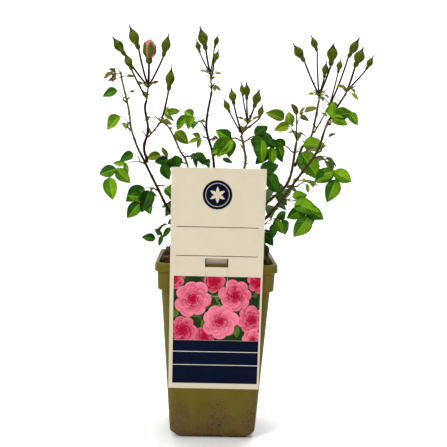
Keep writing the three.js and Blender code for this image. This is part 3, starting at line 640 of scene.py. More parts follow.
# Where the strip runs over the lip, as y and z.
STRIP_ROUTE = (
    (-67.6, 199.2), (-64.5, 199.0), (-61.6, 197.6), (-59.6, 194.0), (-58.6, 188.0), (-58.4, 178.0),
)
DISC_CENTRE = (-1, 209.5)
DISC_RADIUS = 15
DISC_RING = (12.2, 11.7)
DISC_STEPS = 72
PRINTED_LEAVES = 46
PRINTED_LEAF_STEPS = 8
PRINTED_LEAF_LIFT = 0.0008
PRINTED_ROSE_LIFT = 0.011
TONGUE_STEPS = 12
FLOWER_PETALS = 6
FLOWER_PETAL = (8.6, 3.4)
FOOT_BAND = (-44, 6, 46, 54)
CREAM_RULES = (176, 145.6)
CREAM_RULE = (-42, 42, 0.35)
FOOT_RULES = (41.5, 26.7)
FOOT_RULE = (-44, 46, 0.3)
TONGUE_SHOULDER = 113
TONGUE_TIP = 9.7
CUT_LINE_HALF = 0.18
CREAM = (0.565, 0.495, 0.37, 1.0)
CREAM_PALE = (0.61, 0.54, 0.415, 1.0)
NAVY = (0.0018, 0.0034, 0.014, 1.0)
NAVY_WORN = (0.003, 0.006, 0.022, 1.0)
INK_WHITE = (0.8, 0.78, 0.72, 1.0)
LEAFY_DARK = (0.006, 0.014, 0.005, 1.0)
LEAFY_MID = (0.02, 0.045, 0.012, 1.0)
LEAFY_PALE = (0.12, 0.19, 0.035, 1.0)
# Darkened cream: the painted shade of the slit round the tongue.
SLIT_SHADE_GREY = (0.3, 0.26, 0.2, 1.0)
ROSE_DEEP = (0.34, 0.004, 0.028, 1.0)
ROSE_PALE = (0.78, 0.2, 0.29, 1.0)
PICTURE_BOX = (-44.0, 54.3, 46.0, 123.8)

card_foot = in_frame(0, -(body_half(CARD_FOOT_Z) + 0.3), CARD_FOOT_Z)
CARD_PLANE = Matrix.Translation(card_foot) @ Matrix((
    (1, 0, 0, 0),
    (0, -math.sin(CARD_LEAN), -math.cos(CARD_LEAN), 0),
    (0, math.cos(CARD_LEAN), -math.sin(CARD_LEAN), 0),
    (0, 0, 0, 1),
))


def flat_cutting(outlines, low, high):
    """A plate with the given outlines (holes included) between two heights off the card."""
    curve = bpy.data.curves.new("cutting", "CURVE")
    curve.dimensions = "2D"
    curve.fill_mode = "BOTH"
    curve.extrude = (high - low) / 2 * MM
    for outline in outlines:
        spline = curve.splines.new("POLY")
        spline.points.add(len(outline) - 1)
        for point, (x, y) in zip(spline.points, outline):
            point.co = (x * MM, y * MM, 0, 1)
        spline.use_cyclic_u = True
    holder = bpy.data.objects.new("cutting", curve)
    mesh = bpy.data.meshes.new_from_object(holder)
    bpy.data.objects.remove(holder)
    mesh.transform(Matrix.Translation((0, 0, (high + low) / 2 * MM)))
    with edited(mesh) as shape:
        bmesh.ops.remove_doubles(shape, verts=shape.verts, dist=1e-6)
    return mesh


def card_piece(name, meshes, finish, replaced=()):
    """Joins cuttings, lays them on the card and gives them their ink."""
    made = new_object(name, [], [])
    with edited(made.data) as shape:
        for mesh in meshes:
            shape.from_mesh(mesh)
        bmesh.ops.transform(shape, matrix=CARD_PLANE, verts=shape.verts)
    made.data.materials.append(finish)
    seat_piece(made, "card", *replaced)


def box_outline(x0, y0, x1, y1):
    """A rectangle by two opposite corners."""
    return [(x0, y0), (x1, y0), (x1, y1), (x0, y1)]


def round_outline(radius):
    """A circle about the middle of the card's disc."""
    x, y = DISC_CENTRE
    return [(x + radius * math.cos(a), y + radius * math.sin(a)) for a in around(DISC_STEPS)]


def printed(name, ink, worn, roughness=0.45):
    """Ink on board: clouded a little, with the board's fine tooth."""
    made, tree, shader = new_material(name, roughness, specular=0.02)
    cloud = add_mottle(tree, (ink, worn), scale=60.0, contrast=0.35, grain=2200.0)
    sheen = spread_to(tree, cloud["Grain"], 0.3, 0.7, roughness - 0.06, roughness + 0.06)
    dress(tree, shader, cloud["Colour"], sheen, cloud["Grain"], depth=0.00004, strength=0.25)
    return made


def inked(name, ink, worn, shapes, layer=1):
    """A layer of ink: each shape is a list of outlines."""
    low = CARD_THICKNESS + INK_LIFT * (layer - 1)
    plates = [flat_cutting(outlines, low, low + INK_LIFT) for outlines in shapes]
    card_piece(name, plates, printed(name + "_ink", ink, worn))


def ruled(heights, left, right, half):
    """Thin level bars across the card, one at each height."""
    return [[box_outline(left, height - half, right, height + half)] for height in heights]


CREAM_BOARD = printed("cream_board", CREAM, CREAM_PALE, 0.5)
half_card = CARD_WIDTH / 2
half_window = WINDOW_WIDTH / 2
board = flat_cutting(
    [box_outline(-half_card, 0, half_card, CARD_HEIGHT),
     box_outline(-half_window, WINDOW_FOOT, half_window, WINDOW_HEAD)], 0, CARD_THICKNESS)
card_piece("card_board", [board], CREAM_BOARD, ("label_card",))


def hook_strip():
    """The strip's square section carried along its route over the lip."""
    points = []
    half = half_window - 1
    spans = len(STRIP_ROUTE) - 1
    for k, (y, z) in enumerate(STRIP_ROUTE):
        before = Vector(STRIP_ROUTE[max(k - 1, 0)])
        after = Vector(STRIP_ROUTE[min(k + 1, spans)])
        along = (after - before).normalized()
        off = Vector((along.y, -along.x)) * CARD_THICKNESS / 2
        for x, hand in ((-half, 1), (half, 1), (half, -1), (-half, -1)):
            points.append(in_frame(x, y + hand * off.x, z + hand * off.y))
    last = 4 * spans
    ends = [(3, 2, 1, 0), (last, last + 1, last + 2, last + 3)]
    return points, tube_faces(spans, 4) + ends


strip = new_object("card_hook_strip", *hook_strip())
shade_by_angle(strip, 50)
strip.data.materials.append(CREAM_BOARD)
seat_piece(strip, "card")

inked("card_disc", NAVY, NAVY_WORN, [[round_outline(DISC_RADIUS)]])
inked("card_foot_band", NAVY, NAVY_WORN, [[box_outline(*FOOT_BAND)]])
inked("card_thin_rules", NAVY, NAVY_WORN, ruled(CREAM_RULES, *CREAM_RULE))


def leaf_outline(x, y, length, width, turn):
    """A pointed leaf from its foot at x, y."""
    shares = [k / PRINTED_LEAF_STEPS for k in range(PRINTED_LEAF_STEPS + 1)]
    right = [(u, math.sin(math.pi * u ** 0.85)) for u in shares]
    both = right + [(u, -w) for u, w in reversed(right[1:-1])]
    c, s = math.cos(turn), math.sin(turn)
    return [
        (x + c * u * length - s * w * width / 2, y + s * u * length + c * w * width / 2)
        for u, w in both
    ]


emblem = [[round_outline(radius) for radius in DISC_RING]]
for turn in around(FLOWER_PETALS):
    emblem.append([leaf_outline(*DISC_CENTRE, *FLOWER_PETAL, turn + math.pi / 2)])
inked("card_disc_flower", CREAM, CREAM_PALE, emblem, 2)
inked("card_foot_rules", INK_WHITE, CREAM_PALE, ruled(FOOT_RULES, *FOOT_RULE), 2)


class Growth:
    """Points, faces and marks gathered for one joined piece, in millimetres."""

    def __init__(self):
        self.points = []
        self.faces = []
        self.marks = []
        self.uvs = []
        self.skins = []

    def add(self, points, faces, marks, uvs, skins=None):
        start = len(self.points)
        self.points += points
        self.marks += marks
        self.uvs += uvs
        self.faces += [tuple(start + i for i in face) for face in faces]
        self.skins += skins or [0] * len(faces)

    def piece(self, name, *finishes):
        made = new_object(name, [Vector(p) * MM for p in self.points], self.faces)
        mesh = made.data
        layer = mesh.uv_layers.new(name="along_and_across")
        corners = [self.uvs[loop.vertex_index] for loop in mesh.loops]
        layer.data.foreach_set("uv", [value for uv in corners for value in uv])
        mark = mesh.attributes.new("mark", "FLOAT", "POINT")
        mark.data.foreach_set("value", self.marks)
        for finish in finishes:
            mesh.materials.append(finish)
        mesh.polygons.foreach_set("material_index", self.skins)
        smooth_shaded(mesh)
        with edited(mesh) as shape:
            bmesh.ops.remove_doubles(shape, verts=shape.verts, dist=2e-7)
            bmesh.ops.dissolve_degenerate(shape, edges=shape.edges, dist=1e-7)
        return made


def park_miller(seed):
    """The same seed always gives the same plant."""
    state = seed

    def draw(low, high):
        nonlocal state
        state = (state * 16807) % 2147483647
        return low + (high - low) * state / 2147483647

    return draw


PETAL_ROWS = 6
PETAL_COLUMNS = 8
PETAL_LIFT = 0.0003
# Each ring of petals: reach, number, half width in radians, tone.
ROSE_RINGS = (
    (1.0, 7, 0.50, 0.15), (0.86, 7, 0.50, 0.05), (0.70, 6, 0.52, 0.0), (0.54, 5, 0.6, -0.1),
    (0.38, 5, 0.6, -0.25), (0.22, 3, 0.9, -0.4),
)
# Each printed rose, lowest first: middle x and y, radius, blush.
ROSETTES = (
    (44, 119, 13, -0.4), (-44, 121, 12, -0.3), (-2, 118, 12, -0.45), (-11, 57, 12, -0.35),
    (-34, 66, 15, -0.3), (38, 78, 15, -0.15), (40, 56, 12, 0.05), (-24, 99, 20, 0.0),
    (20, 104, 17, -0.1), (5, 75, 19.5, 0.1),
)


def sheet_faces(rows, columns, start=0, pitch=None):
    """Faces of a sheet of points set out row by row, the rows a pitch apart."""
    pitch = pitch or columns + 1
    faces = []
    for row in range(rows):
        for column in range(columns):
            a = start + row * pitch + column
            faces.append((a, a + pitch, a + pitch + 1, a + 1))
    return faces


def printed_petal(growth, x, y, turn, reach, width, height, tone):
    """A fan-shaped petal that pales towards its rim."""
    points = []
    marks = []
    for row in range(PETAL_ROWS + 1):
        share = row / PETAL_ROWS
        for column in range(PETAL_COLUMNS + 1):
            across = 2 * column / PETAL_COLUMNS - 1
            angle = turn + across * width * (0.55 + 0.45 * share)
            edge = reach * share * (1 - 0.2 * share * abs(across) ** 2.4)
            points.append((x + edge * math.cos(angle), y + edge * math.sin(angle), height))
            marks.append(tone - 0.2 + share ** 1.9 + 0.16 * across * share)
    growth.add(points, sheet_faces(PETAL_ROWS, PETAL_COLUMNS), marks, [(0.5, 0.5)] * len(points))


def rosette(growth, x, y, radius, blush, height, draw):
    """A full rose seen from above, in rings of petals that deepen to its heart."""
    for reach, count, width, tone in ROSE_RINGS:
        start = draw(0, 6.28)
        for turn in around(count):
            turned = start + turn + draw(-0.15, 0.15)
            height += PETAL_LIFT
            printed_petal(
                growth, x, y, turned, radius * reach * draw(0.93, 1.05), width, height,
                tone + blush + draw(-0.14, 0.14))


def clipped(growth, name, finish, lift):
    """Cuts a flat growth to the picture's box on the card and lays it there."""
    made = growth.piece(name, finish)
    x0, y0, x1, y1 = PICTURE_BOX
    edges = (
        ((x0, 0, 0), (-1, 0, 0)),
        ((x1, 0, 0), (1, 0, 0)),
        ((0, y0, 0), (0, -1, 0)),
        ((0, y1, 0), (0, 1, 0)),
    )
    with edited(made.data) as shape:
        for place, out in edges:
            bmesh.ops.bisect_plane(
                shape, geom=shape.verts[:] + shape.edges[:] + shape.faces[:],
                plane_co=Vector(place) * MM, plane_no=out, clear_outer=True)
        for face in shape.faces:
            if face.normal.z < 0:
                face.normal_flip()
        lifted = Matrix.Translation(in_frame(0, 0, lift))
        bmesh.ops.transform(shape, matrix=CARD_PLANE @ lifted, verts=shape.verts)
    seat_piece(made, "card")


def point_mark(tree):
    """The mark that a grown piece carries at each point."""
    return add_node(tree, "ShaderNodeAttribute", attribute_name="mark").outputs["Fac"]


def toned_ink(name, deep, pale):
    """Ink that goes from deep to pale by the mark on each point."""
    made, tree, shader = new_material(name, 0.42, specular=0.02)
    cloud = add_mottle(tree, (), scale=420.0, contrast=0.5, grain=2500.0)
    sway = spread_to(tree, cloud["Mask"], 0.0, 1.0, -0.12, 0.12)
    tone = worked(tree, "ADD", point_mark(tree), sway, clamp=True)
    sheen = spread_to(tree, cloud["Grain"], 0.3, 0.7, 0.36, 0.48)
    colour = blended(tree, tone, deep, pale)
    dress(tree, shader, colour, sheen, cloud["Grain"], depth=0.00004, strength=0.25)
    return made


draw = park_miller(4242)
picture_leaves = Growth()
lit_half = tuple(range(PRINTED_LEAF_STEPS + 1))
shaded_half = (0,) + tuple(range(2 * PRINTED_LEAF_STEPS - 1, PRINTED_LEAF_STEPS - 1, -1))
x0, y0, x1, y1 = PICTURE_BOX
for k in range(PRINTED_LEAVES):
    x = draw(x0 - 4, x1 + 4)
    y = draw(y0 - 4, y1 + 4)
    turn = draw(0, 2 * math.pi)
    outline = leaf_outline(x, y, draw(11, 19), draw(6, 10), turn)
    points = [(px, py, PRINTED_LEAF_LIFT * k) for px, py in outline]
    tone = draw(0.1, 0.75)
    for half, shade in ((lit_half, 0.0), (shaded_half, -0.22)):
        marks = [tone + shade + 0.25 * math.sin(i * 0.8) for i in range(len(points))]
        picture_leaves.add(points, [half], marks, [(0.5, 0.5)] * len(points))
inked("card_picture_ground", LEAFY_DARK, LEAFY_MID, [[box_outline(*PICTURE_BOX)]])
leaf_ink = toned_ink("picture_leaf_ink", LEAFY_DARK, LEAFY_PALE)
clipped(picture_leaves, "card_picture_leaves", leaf_ink, CARD_THICKNESS + INK_LIFT)
picture_roses = Growth()
for k, (x, y, radius, blush) in enumerate(ROSETTES):
    rosette(picture_roses, x, y, radius, blush, PRINTED_ROSE_LIFT * k, draw)
rose_ink = toned_ink("picture_rose_ink", ROSE_DEEP, ROSE_PALE)
clipped(picture_roses, "card_picture_roses", rose_ink, CARD_THICKNESS + 2 * INK_LIFT)


def tongue_outline(grow):
    """The die-cut tongue: straight sides below the window and a round tip."""
    half = half_window - 0.7 + grow
    tip = []
    for i in range(TONGUE_STEPS + 1):
        angle = math.pi * (1 + i / TONGUE_STEPS)
        tip.append((half * math.cos(angle), TONGUE_SHOULDER - 1 + (TONGUE_TIP + grow) * math.sin(angle)))
    left, right = [[(x, WINDOW_FOOT), (x, TONGUE_SHOULDER)] for x in (-half, half)]
    return left + tip + right[::-1]


# Painted shade: the slit round the tongue is drawn as a thin band of darkened cream lying on the board.
cut_line = tongue_outline(CUT_LINE_HALF) + tongue_outline(-CUT_LINE_HALF)[::-1]
cuttings = [flat_cutting([cut_line], CARD_THICKNESS + INK_LIFT, CARD_THICKNESS + 6 * INK_LIFT)]
card_piece("card_tongue_cut", cuttings, printed("slit_shade", SLIT_SHADE_GREY, CREAM, 0.6))

# ---- Canes: woody crown at the soil and the thin arching canes that fork from it ----
# Grown wood, dark purple-brown at the foot and greener towards the tips, with a swollen ring
# at every leaf joint. Small hooked prickles sit on the lower canes.

GAP = 0.3
CROWN_RADIUS = 10
CROWN_SIDES = 40
CROWN_Z = 197
GROUND = 186
# Each cane: name, radius at foot and tip, and the places it passes through.
CANES = (
    ("cane_left", (1.8, 1.35), ((-25, -5, 213), (-50, -10, 239), (-66, -10, 268), (-84, -10, 303))),
    ("cane_back_left", (1.6, 1.0),
     ((-21, 31, 224), (-34, 50, 288), (-44, 50, 308), (-56, 50, 332), (-66, 50, 341))),
    ("cane_tall", (1.9, 1.2), ((-3, 14, 229), (-5, 26, 297), (-14, 30, 335), (-9, 30, 375))),
    ("cane_centre", (1.8, 1.3), ((13, -14, 235), (28, -20, 292), (27, -20, 312), (24, -20, 325))),
    ("cane_right", (2.2, 1.5), ((32, 28, 222), (58, 43, 250), (82, 45, 275), (90, 45, 320))),
    ("cane_far_right", (1.9, 1.1),
     ((28, -22, 217), (53, -38, 241), (84, -40, 283), (103, -40, 311), (113, -40, 341), (131, -40, 372))),
)
# Each fork: name, the cane that bears it, how far up, then as a cane.
FORKS = (
    ("cane_left_outer", "cane_left", 1, (1.25, 1.0),
     ((-88, -12, 311), (-95, -12, 331), (-97.5, -14, 350), (-105, -18, 382))),
    ("cane_left_inner", "cane_left", 0.94, (1.6, 1.3),
     ((-81, -8.5, 311), (-77, -9, 330), (-80.5, -10, 352), (-79, -10, 361))),
    ("cane_right_outer", "cane_right", 0.85, (1.5, 1.2),
     ((97, 45, 315), (106.5, 45, 327), (110.5, 44, 346), (114, 43, 369))),
)
ROUTE_STEPS = 40
BEND_SHARES = [k / 24 for k in range(25)]
DOME_STEPS = 12
PRICKLE_RADIUS = 0.0007
PRICKLE_HOOK = 160.0
PRICKLE_SUNK = -0.0003
THORNY_FROM = 0.04
THORNY_TO = 0.8
CANE_SINK = 3.5
CANE_SIDES = 14
RING_STEP = 1.3
JOINT_STEP = 17.0
WOOD_OLD = (0.024, 0.0085, 0.006, 1.0)
WOOD_RIPE = (0.085, 0.062, 0.012, 1.0)
WOOD_YOUNG = (0.14, 0.16, 0.015, 1.0)
WOOD_BLUSH = (0.12, 0.025, 0.018, 1.0)
BARK_FRECKLE = (0.2, 0.12, 0.07, 1.0)
PRICKLE_RED = (0.1, 0.035, 0.022, 1.0)
PRICKLE_PALE = (0.3, 0.16, 0.08, 1.0)
# Age at foot and tip: 1 is old brown wood, 0 is young and green.
WOOD_AGE = {
    "cane_left": (1.0, 0.85),
    "cane_back_left": (0.9, 0.35),
    "cane_tall": (1.0, 0.8),
    "cane_centre": (0.75, 0.25),
    "cane_right": (0.7, 0.45),
    "cane_far_right": (0.75, 0.6),
    "cane_left_outer": (0.75, 0.2),
    "cane_left_inner": (0.9, 0.8),
    "cane_right_outer": (0.6, 0.55),
}


def direction(turn, rise):
    """The way that a turn about the plant and a rise from the level point to, in degrees."""
    t = math.radians(turn)
    r = math.radians(rise)
    return Vector((math.cos(r) * math.cos(t), math.cos(r) * math.sin(t), math.sin(r)))


def lerp(low, high, share):
    """The value a share of the way from low to high."""
    return low + (high - low) * share


class Route:
    """A smooth route given by many close points, walked by its length."""

    def __init__(self, samples):
        self.samples = samples
        self.reached = [0.0]
        for a, b in zip(samples, samples[1:]):
            self.reached.append(self.reached[-1] + (b - a).length)
        self.length = self.reached[-1]

    def spot(self, share):
        wanted = share * self.length
        if wanted <= 0:
            return self.samples[0] + (self.samples[1] - self.samples[0]).normalized() * wanted
        low, high = 0, len(self.samples) - 1
        while high - low > 1:
            middle = (low + high) // 2
            if self.reached[middle] < wanted:
                low = middle
            else:
                high = middle
        part = (wanted - self.reached[low]) / max(self.reached[high] - self.reached[low], 1e-9)
        return self.samples[low].lerp(self.samples[high], part)

    def heading(self, share):
        near = 0.5 / len(self.samples)
        return (self.spot(min(1, share + near)) - self.spot(max(0, share - near))).normalized()


def smooth_route(points):
    """The even spline through the points, its ends carried on straight."""
    points = [Vector(p) for p in points]
    whole = [2 * points[0] - points[1]] + points + [2 * points[-1] - points[-2]]
    samples = []
    for i in range(len(points) - 1):
        a, b, c, d = whole[i:i + 4]
        for k in range(ROUTE_STEPS):
            t = k / ROUTE_STEPS
            lead, trail = (c - a) / 2, (d - b) / 2
            samples.append(
                b + lead * t + (3 * (c - b) - 2 * lead - trail) * t ** 2
                + (2 * (b - c) + lead + trail) * t ** 3)
    samples.append(points[-1])
    return Route(samples)


def bent_route(start, middle, end):
    """One even bend from start to end, drawn towards the middle."""
    return Route([start * (1 - t) ** 2 + middle * 2 * t * (1 - t) + end * t * t for t in BEND_SHARES])


def cap_faces(foot, first, tip, last, sides):
    """Fans that close a tube at its foot and at its tip."""
    faces = []
    for i in range(sides):
        j = (i + 1) % sides
        faces += [(foot, first + j, first + i), (tip, last + i, last + j)]
    return faces


def round_stem(growth, route, girth, sides, step, mark, back=0.0, joints=0.0):
    """A stem along a route: girth and mark are (foot, tip), back sinks its foot into what bears it."""
    count = max(3, int((route.length + back) / step))
    first = -back / route.length
    points = []
    marks = []
    uvs = []
    across = None
    for k in range(count + 1):
        share = lerp(first, 1, k / count)
        place = route.spot(share)
        along = route.heading(max(share, 0))
        if across is None:
            across = along.orthogonal().normalized()
        across = (across - along * across.dot(along)).normalized()
        other = along.cross(across)
        walked = share * route.length
        radius = lerp(*girth, max(share, 0))
        if joints:
            nearest = abs((walked / joints + 0.5) % 1 - 0.5) * joints
            radius *= 1 + 0.24 * math.exp(-((nearest / 0.9) ** 2)) + 0.05 * math.sin(walked * 0.45)
        for i, angle in enumerate(around(sides)):
            c, s = math.cos(angle), math.sin(angle)
            rough = 1 + 0.05 * noise.noise(Vector((c * 2, s * 2, walked * 0.15)))
            points.append(place + (across * c + other * s) * radius * rough)
            marks.append(lerp(*mark, max(share, 0)))
            uvs.append((abs(2 * i / sides - 1), walked))
    points += [route.spot(first), route.spot(1) + route.heading(1) * girth[1] * 0.5]
    marks += mark
    uvs += [(0.5, 0.0), (0.5, route.length)]
    tip = len(points) - 1
    faces = tube_faces(count, sides) + cap_faces(tip - 1, 0, tip, count * sides, sides)
    growth.add(points, faces, marks, uvs)


def piece_run(tree):
    """The way along and across a grown piece."""
    return add_node(tree, "ShaderNodeUVMap", uv_map="along_and_across").outputs["UV"]


def drawn_out(tree, stretch, detail):
    """Noise drawn out along a grown piece."""
    laid = add_node(tree, "ShaderNodeMapping", Vector=piece_run(tree), Scale=stretch).outputs["Vector"]
    return add_node(tree, "ShaderNodeTexNoise", Vector=laid, Scale=1.0, Detail=detail).outputs["Fac"]


def cane_skin():
    """Bark coloured by its age, streaked and freckled along the stem."""
    made, tree, shader = new_material("rose_bark", 0.5, specular=0.05)
    cloud = add_mottle(tree, (WOOD_YOUNG, WOOD_RIPE), scale=160.0, contrast=0.6, grain=1500.0)
    streaks = drawn_out(tree, (9.0, 0.35, 1.0), 4.0)
    blush = multiplied(tree, spread_to(tree, streaks, 0.42, 0.68), 0.75)
    freckles = add_node(tree, "ShaderNodeTexVoronoi", Vector=own_place(tree), Scale=620.0)
    dots = multiplied(tree, spread_to(tree, freckles.outputs["Distance"], 0.24, 0.12), 0.2)
    colour = blended(tree, blush, cloud["Colour"], WOOD_BLUSH)
    colour = blended(tree, spread_to(tree, point_mark(tree), 0.15, 0.8), colour, WOOD_OLD)
    colour = blended(tree, dots, colour, BARK_FRECKLE)
    sheen = spread_to(tree, streaks, 0.3, 0.7, 0.36, 0.6)
    dress(tree, shader, colour, sheen, streaks, depth=0.0005, strength=0.6)
    return made


limbs = {}
crown_centre = Vector((0, 0, CROWN_Z))


def spring_point(bearer, at, aim, foot):
    """Where a shoot that heads for the aim leaves the limb that bears it."""
    route, girth = limbs[bearer]
    place = route.spot(at)
    along = route.heading(at)
    out = (aim - place).normalized()
    share = out.dot(along)
    if at == 1:
        return place + along * (GAP + foot * math.sqrt(max(0, 1 - share * share)))
    across = (out - along * share).normalized()
    return place + across * (lerp(*girth, at) + GAP + foot * abs(share))


for name, girth, route in CANES:
    first = Vector(route[0])
    out = (first - crown_centre).normalized()
    limbs[name] = (smooth_route((crown_centre + out * (CROWN_RADIUS + 2 * GAP),) + route), girth)
for name, bearer, at, girth, route in FORKS:
    foot = spring_point(bearer, at, Vector(route[0]), girth[0])
    limbs[name] = (smooth_route((foot,) + route), girth)

BARK = cane_skin()
for name, (route, girth) in limbs.items():
    growth = Growth()
    round_stem(
        growth, route, girth, sides=CANE_SIDES, step=RING_STEP, mark=WOOD_AGE[name], back=CANE_SINK,
        joints=JOINT_STEP)
    seat_piece(growth.piece(name + "_wood", BARK), "bark", name)


def crown_wood():
    """A knuckled stump: a lathe shape pushed about by noise, thick where canes leave it."""
    growth = Growth()
    profile = [(CROWN_RADIUS * 0.78, GROUND), (CROWN_RADIUS * 0.86, CROWN_Z - 6)]
    reach = CROWN_RADIUS * 0.97
    for i in range(DOME_STEPS):
        angle = math.pi / 2 * i / DOME_STEPS
        profile.append((reach * math.cos(angle), CROWN_Z + reach * math.sin(angle)))
    points = []
    for radius, z in profile:
        for angle in around(CROWN_SIDES):
            place = Vector((radius * math.cos(angle), radius * math.sin(angle), z))
            swell = 0.94 + 0.09 * noise.noise(place * 0.3)
            points.append(Vector((place.x * swell, place.y * swell, z)))
    points += [Vector((0, 0, GROUND)), Vector((0, 0, CROWN_Z + reach))]
    top = len(points) - 1
    spans = len(profile) - 1
    faces = tube_faces(spans, CROWN_SIDES) + cap_faces(top - 1, 0, top, spans * CROWN_SIDES, CROWN_SIDES)
    growth.add(points, faces, [1.0] * len(points), [(0.5, p.z) for p in points])
    return growth


seat_piece(crown_wood().piece("crown_stump", BARK), "bark", "stem_base")


def prickle_tree():
    """Sets small hooked prickles on bark, each leaning down along the cane."""
    tree, feed = new_group(
        "GeometryNodeTree", "prickles",
        [("Surface", "Geometry", None), ("Prickles per Square Metre", "Float", 9000.0),
         ("Spacing", "Float", 0.005), ("Length", "Float", 0.0026), ("Seed", "Int", 1),
         ("Finish", "Material", None)],
        [("Prickles", "Geometry")])
    spread = add_node(
        tree, "GeometryNodeDistributePointsOnFaces", distribute_method="POISSON", Mesh=feed["Surface"],
        Density_Max=feed["Prickles per Square Metre"], Distance_Min=feed["Spacing"], Seed=feed["Seed"])
    thorn = add_node(
        tree, "GeometryNodeMeshCone", Vertices=7, Side_Segments=5, Radius_Bottom=PRICKLE_RADIUS,
        Depth=feed["Length"])
    place = add_node(tree, "GeometryNodeInputPosition").outputs["Position"]
    height = add_node(tree, "ShaderNodeSeparateXYZ", place).outputs["Z"]
    hook = multiplied(tree, multiplied(tree, height, height), PRICKLE_HOOK)
    shift = add_node(tree, "ShaderNodeCombineXYZ", X=hook, Z=PRICKLE_SUNK)
    bent = add_node(
        tree, "GeometryNodeSetPosition", Geometry=thorn.outputs["Mesh"], Offset=shift.outputs["Vector"])
    droop = add_node(
        tree, "FunctionNodeAlignRotationToVector", axis="X", pivot_axis="Z",
        Rotation=spread.outputs["Rotation"], Vector=(0.0, 0.0, -1.0))
    size = add_node(tree, "FunctionNodeRandomValue", Min=0.6, Max=1.15, Seed=feed["Seed"])
    set_on_points(
        tree, feed, spread.outputs["Points"], bent.outputs["Geometry"], droop.outputs["Rotation"],
        size.outputs["Value"])
    return tree


def prickle_finish():
    """Prickles: red-brown, paler in patches."""
    made, tree, shader = new_material("prickle", 0.4)
    cloud = add_mottle(tree, (PRICKLE_RED, PRICKLE_PALE), scale=500.0, contrast=0.6, grain=3000.0)
    sheen = spread_to(tree, cloud["Mask"], 0.0, 1.0, 0.3, 0.5)
    dress(tree, shader, cloud["Colour"], sheen, cloud["Grain"], depth=0.00005, strength=0.3)
    return made


thorny = Growth()
for name, *_ in CANES:
    route, girth = limbs[name]
    lower = Route([route.spot(0.04 + 0.76 * k / 60) for k in range(61)])
    thinned = (lerp(*girth, THORNY_FROM), lerp(*girth, THORNY_TO))
    round_stem(thorny, lower, thinned, sides=8, step=4.0, mark=(1, 1))
bark_skin = thorny.piece("bark_skin", BARK)
thickly = {"Prickles per Square Metre": 7000.0, "Finish": prickle_finish()}
prickles = grown_on(
    "cane_prickles", bark_skin, prickle_tree(), Spacing=0.006, Length=0.0028, Seed=11, **thickly)
seat_piece(prickles, "bark")
bpy.data.objects.remove(bark_skin)

# ---- Leaves: compound rose leaves, three or five toothed leaflets on a bending stalk ----
# Each leaf is grown from its cane by the same seeded rule, with its stalk, its pair of stipules
# and folded, quilted blades that are paler below. Leaves of one tint are joined in one piece.

TWIG_RADIUS = 0.95
RACHIS_RADIUS = 0.6
LEAF_WIDTH = 0.64
BRACT_WIDTH = 0.44
YOUNG_WIDTH = 0.5
LEAF_THICK = 0.3
BLADE_REACH = 0.975
LEAF_SAG = 40
LEAF_SINK = 1.2
TWIG_SINK = 2.5
STIPULE_REACH = 7.5
LEAFLET_SPREAD = 64
TEETH = 11
TOOTH_ROWS = 3
BLADE_COLUMNS = 8
TINTS = {
    "deep": ((0.003, 0.032, 0.001, 1.0), (0.035, 0.14, 0.002, 1.0)),
    "fresh": ((0.01, 0.08, 0.001, 1.0), (0.18, 0.37, 0.003, 1.0)),
    "light": ((0.06, 0.13, 0.001, 1.0), (0.26, 0.36, 0.008, 1.0)),
    "bronze": ((0.07, 0.045, 0.01, 1.0), (0.17, 0.17, 0.025, 1.0)),
}
UNDERSIDE_PALE = (0.22, 0.3, 0.14)
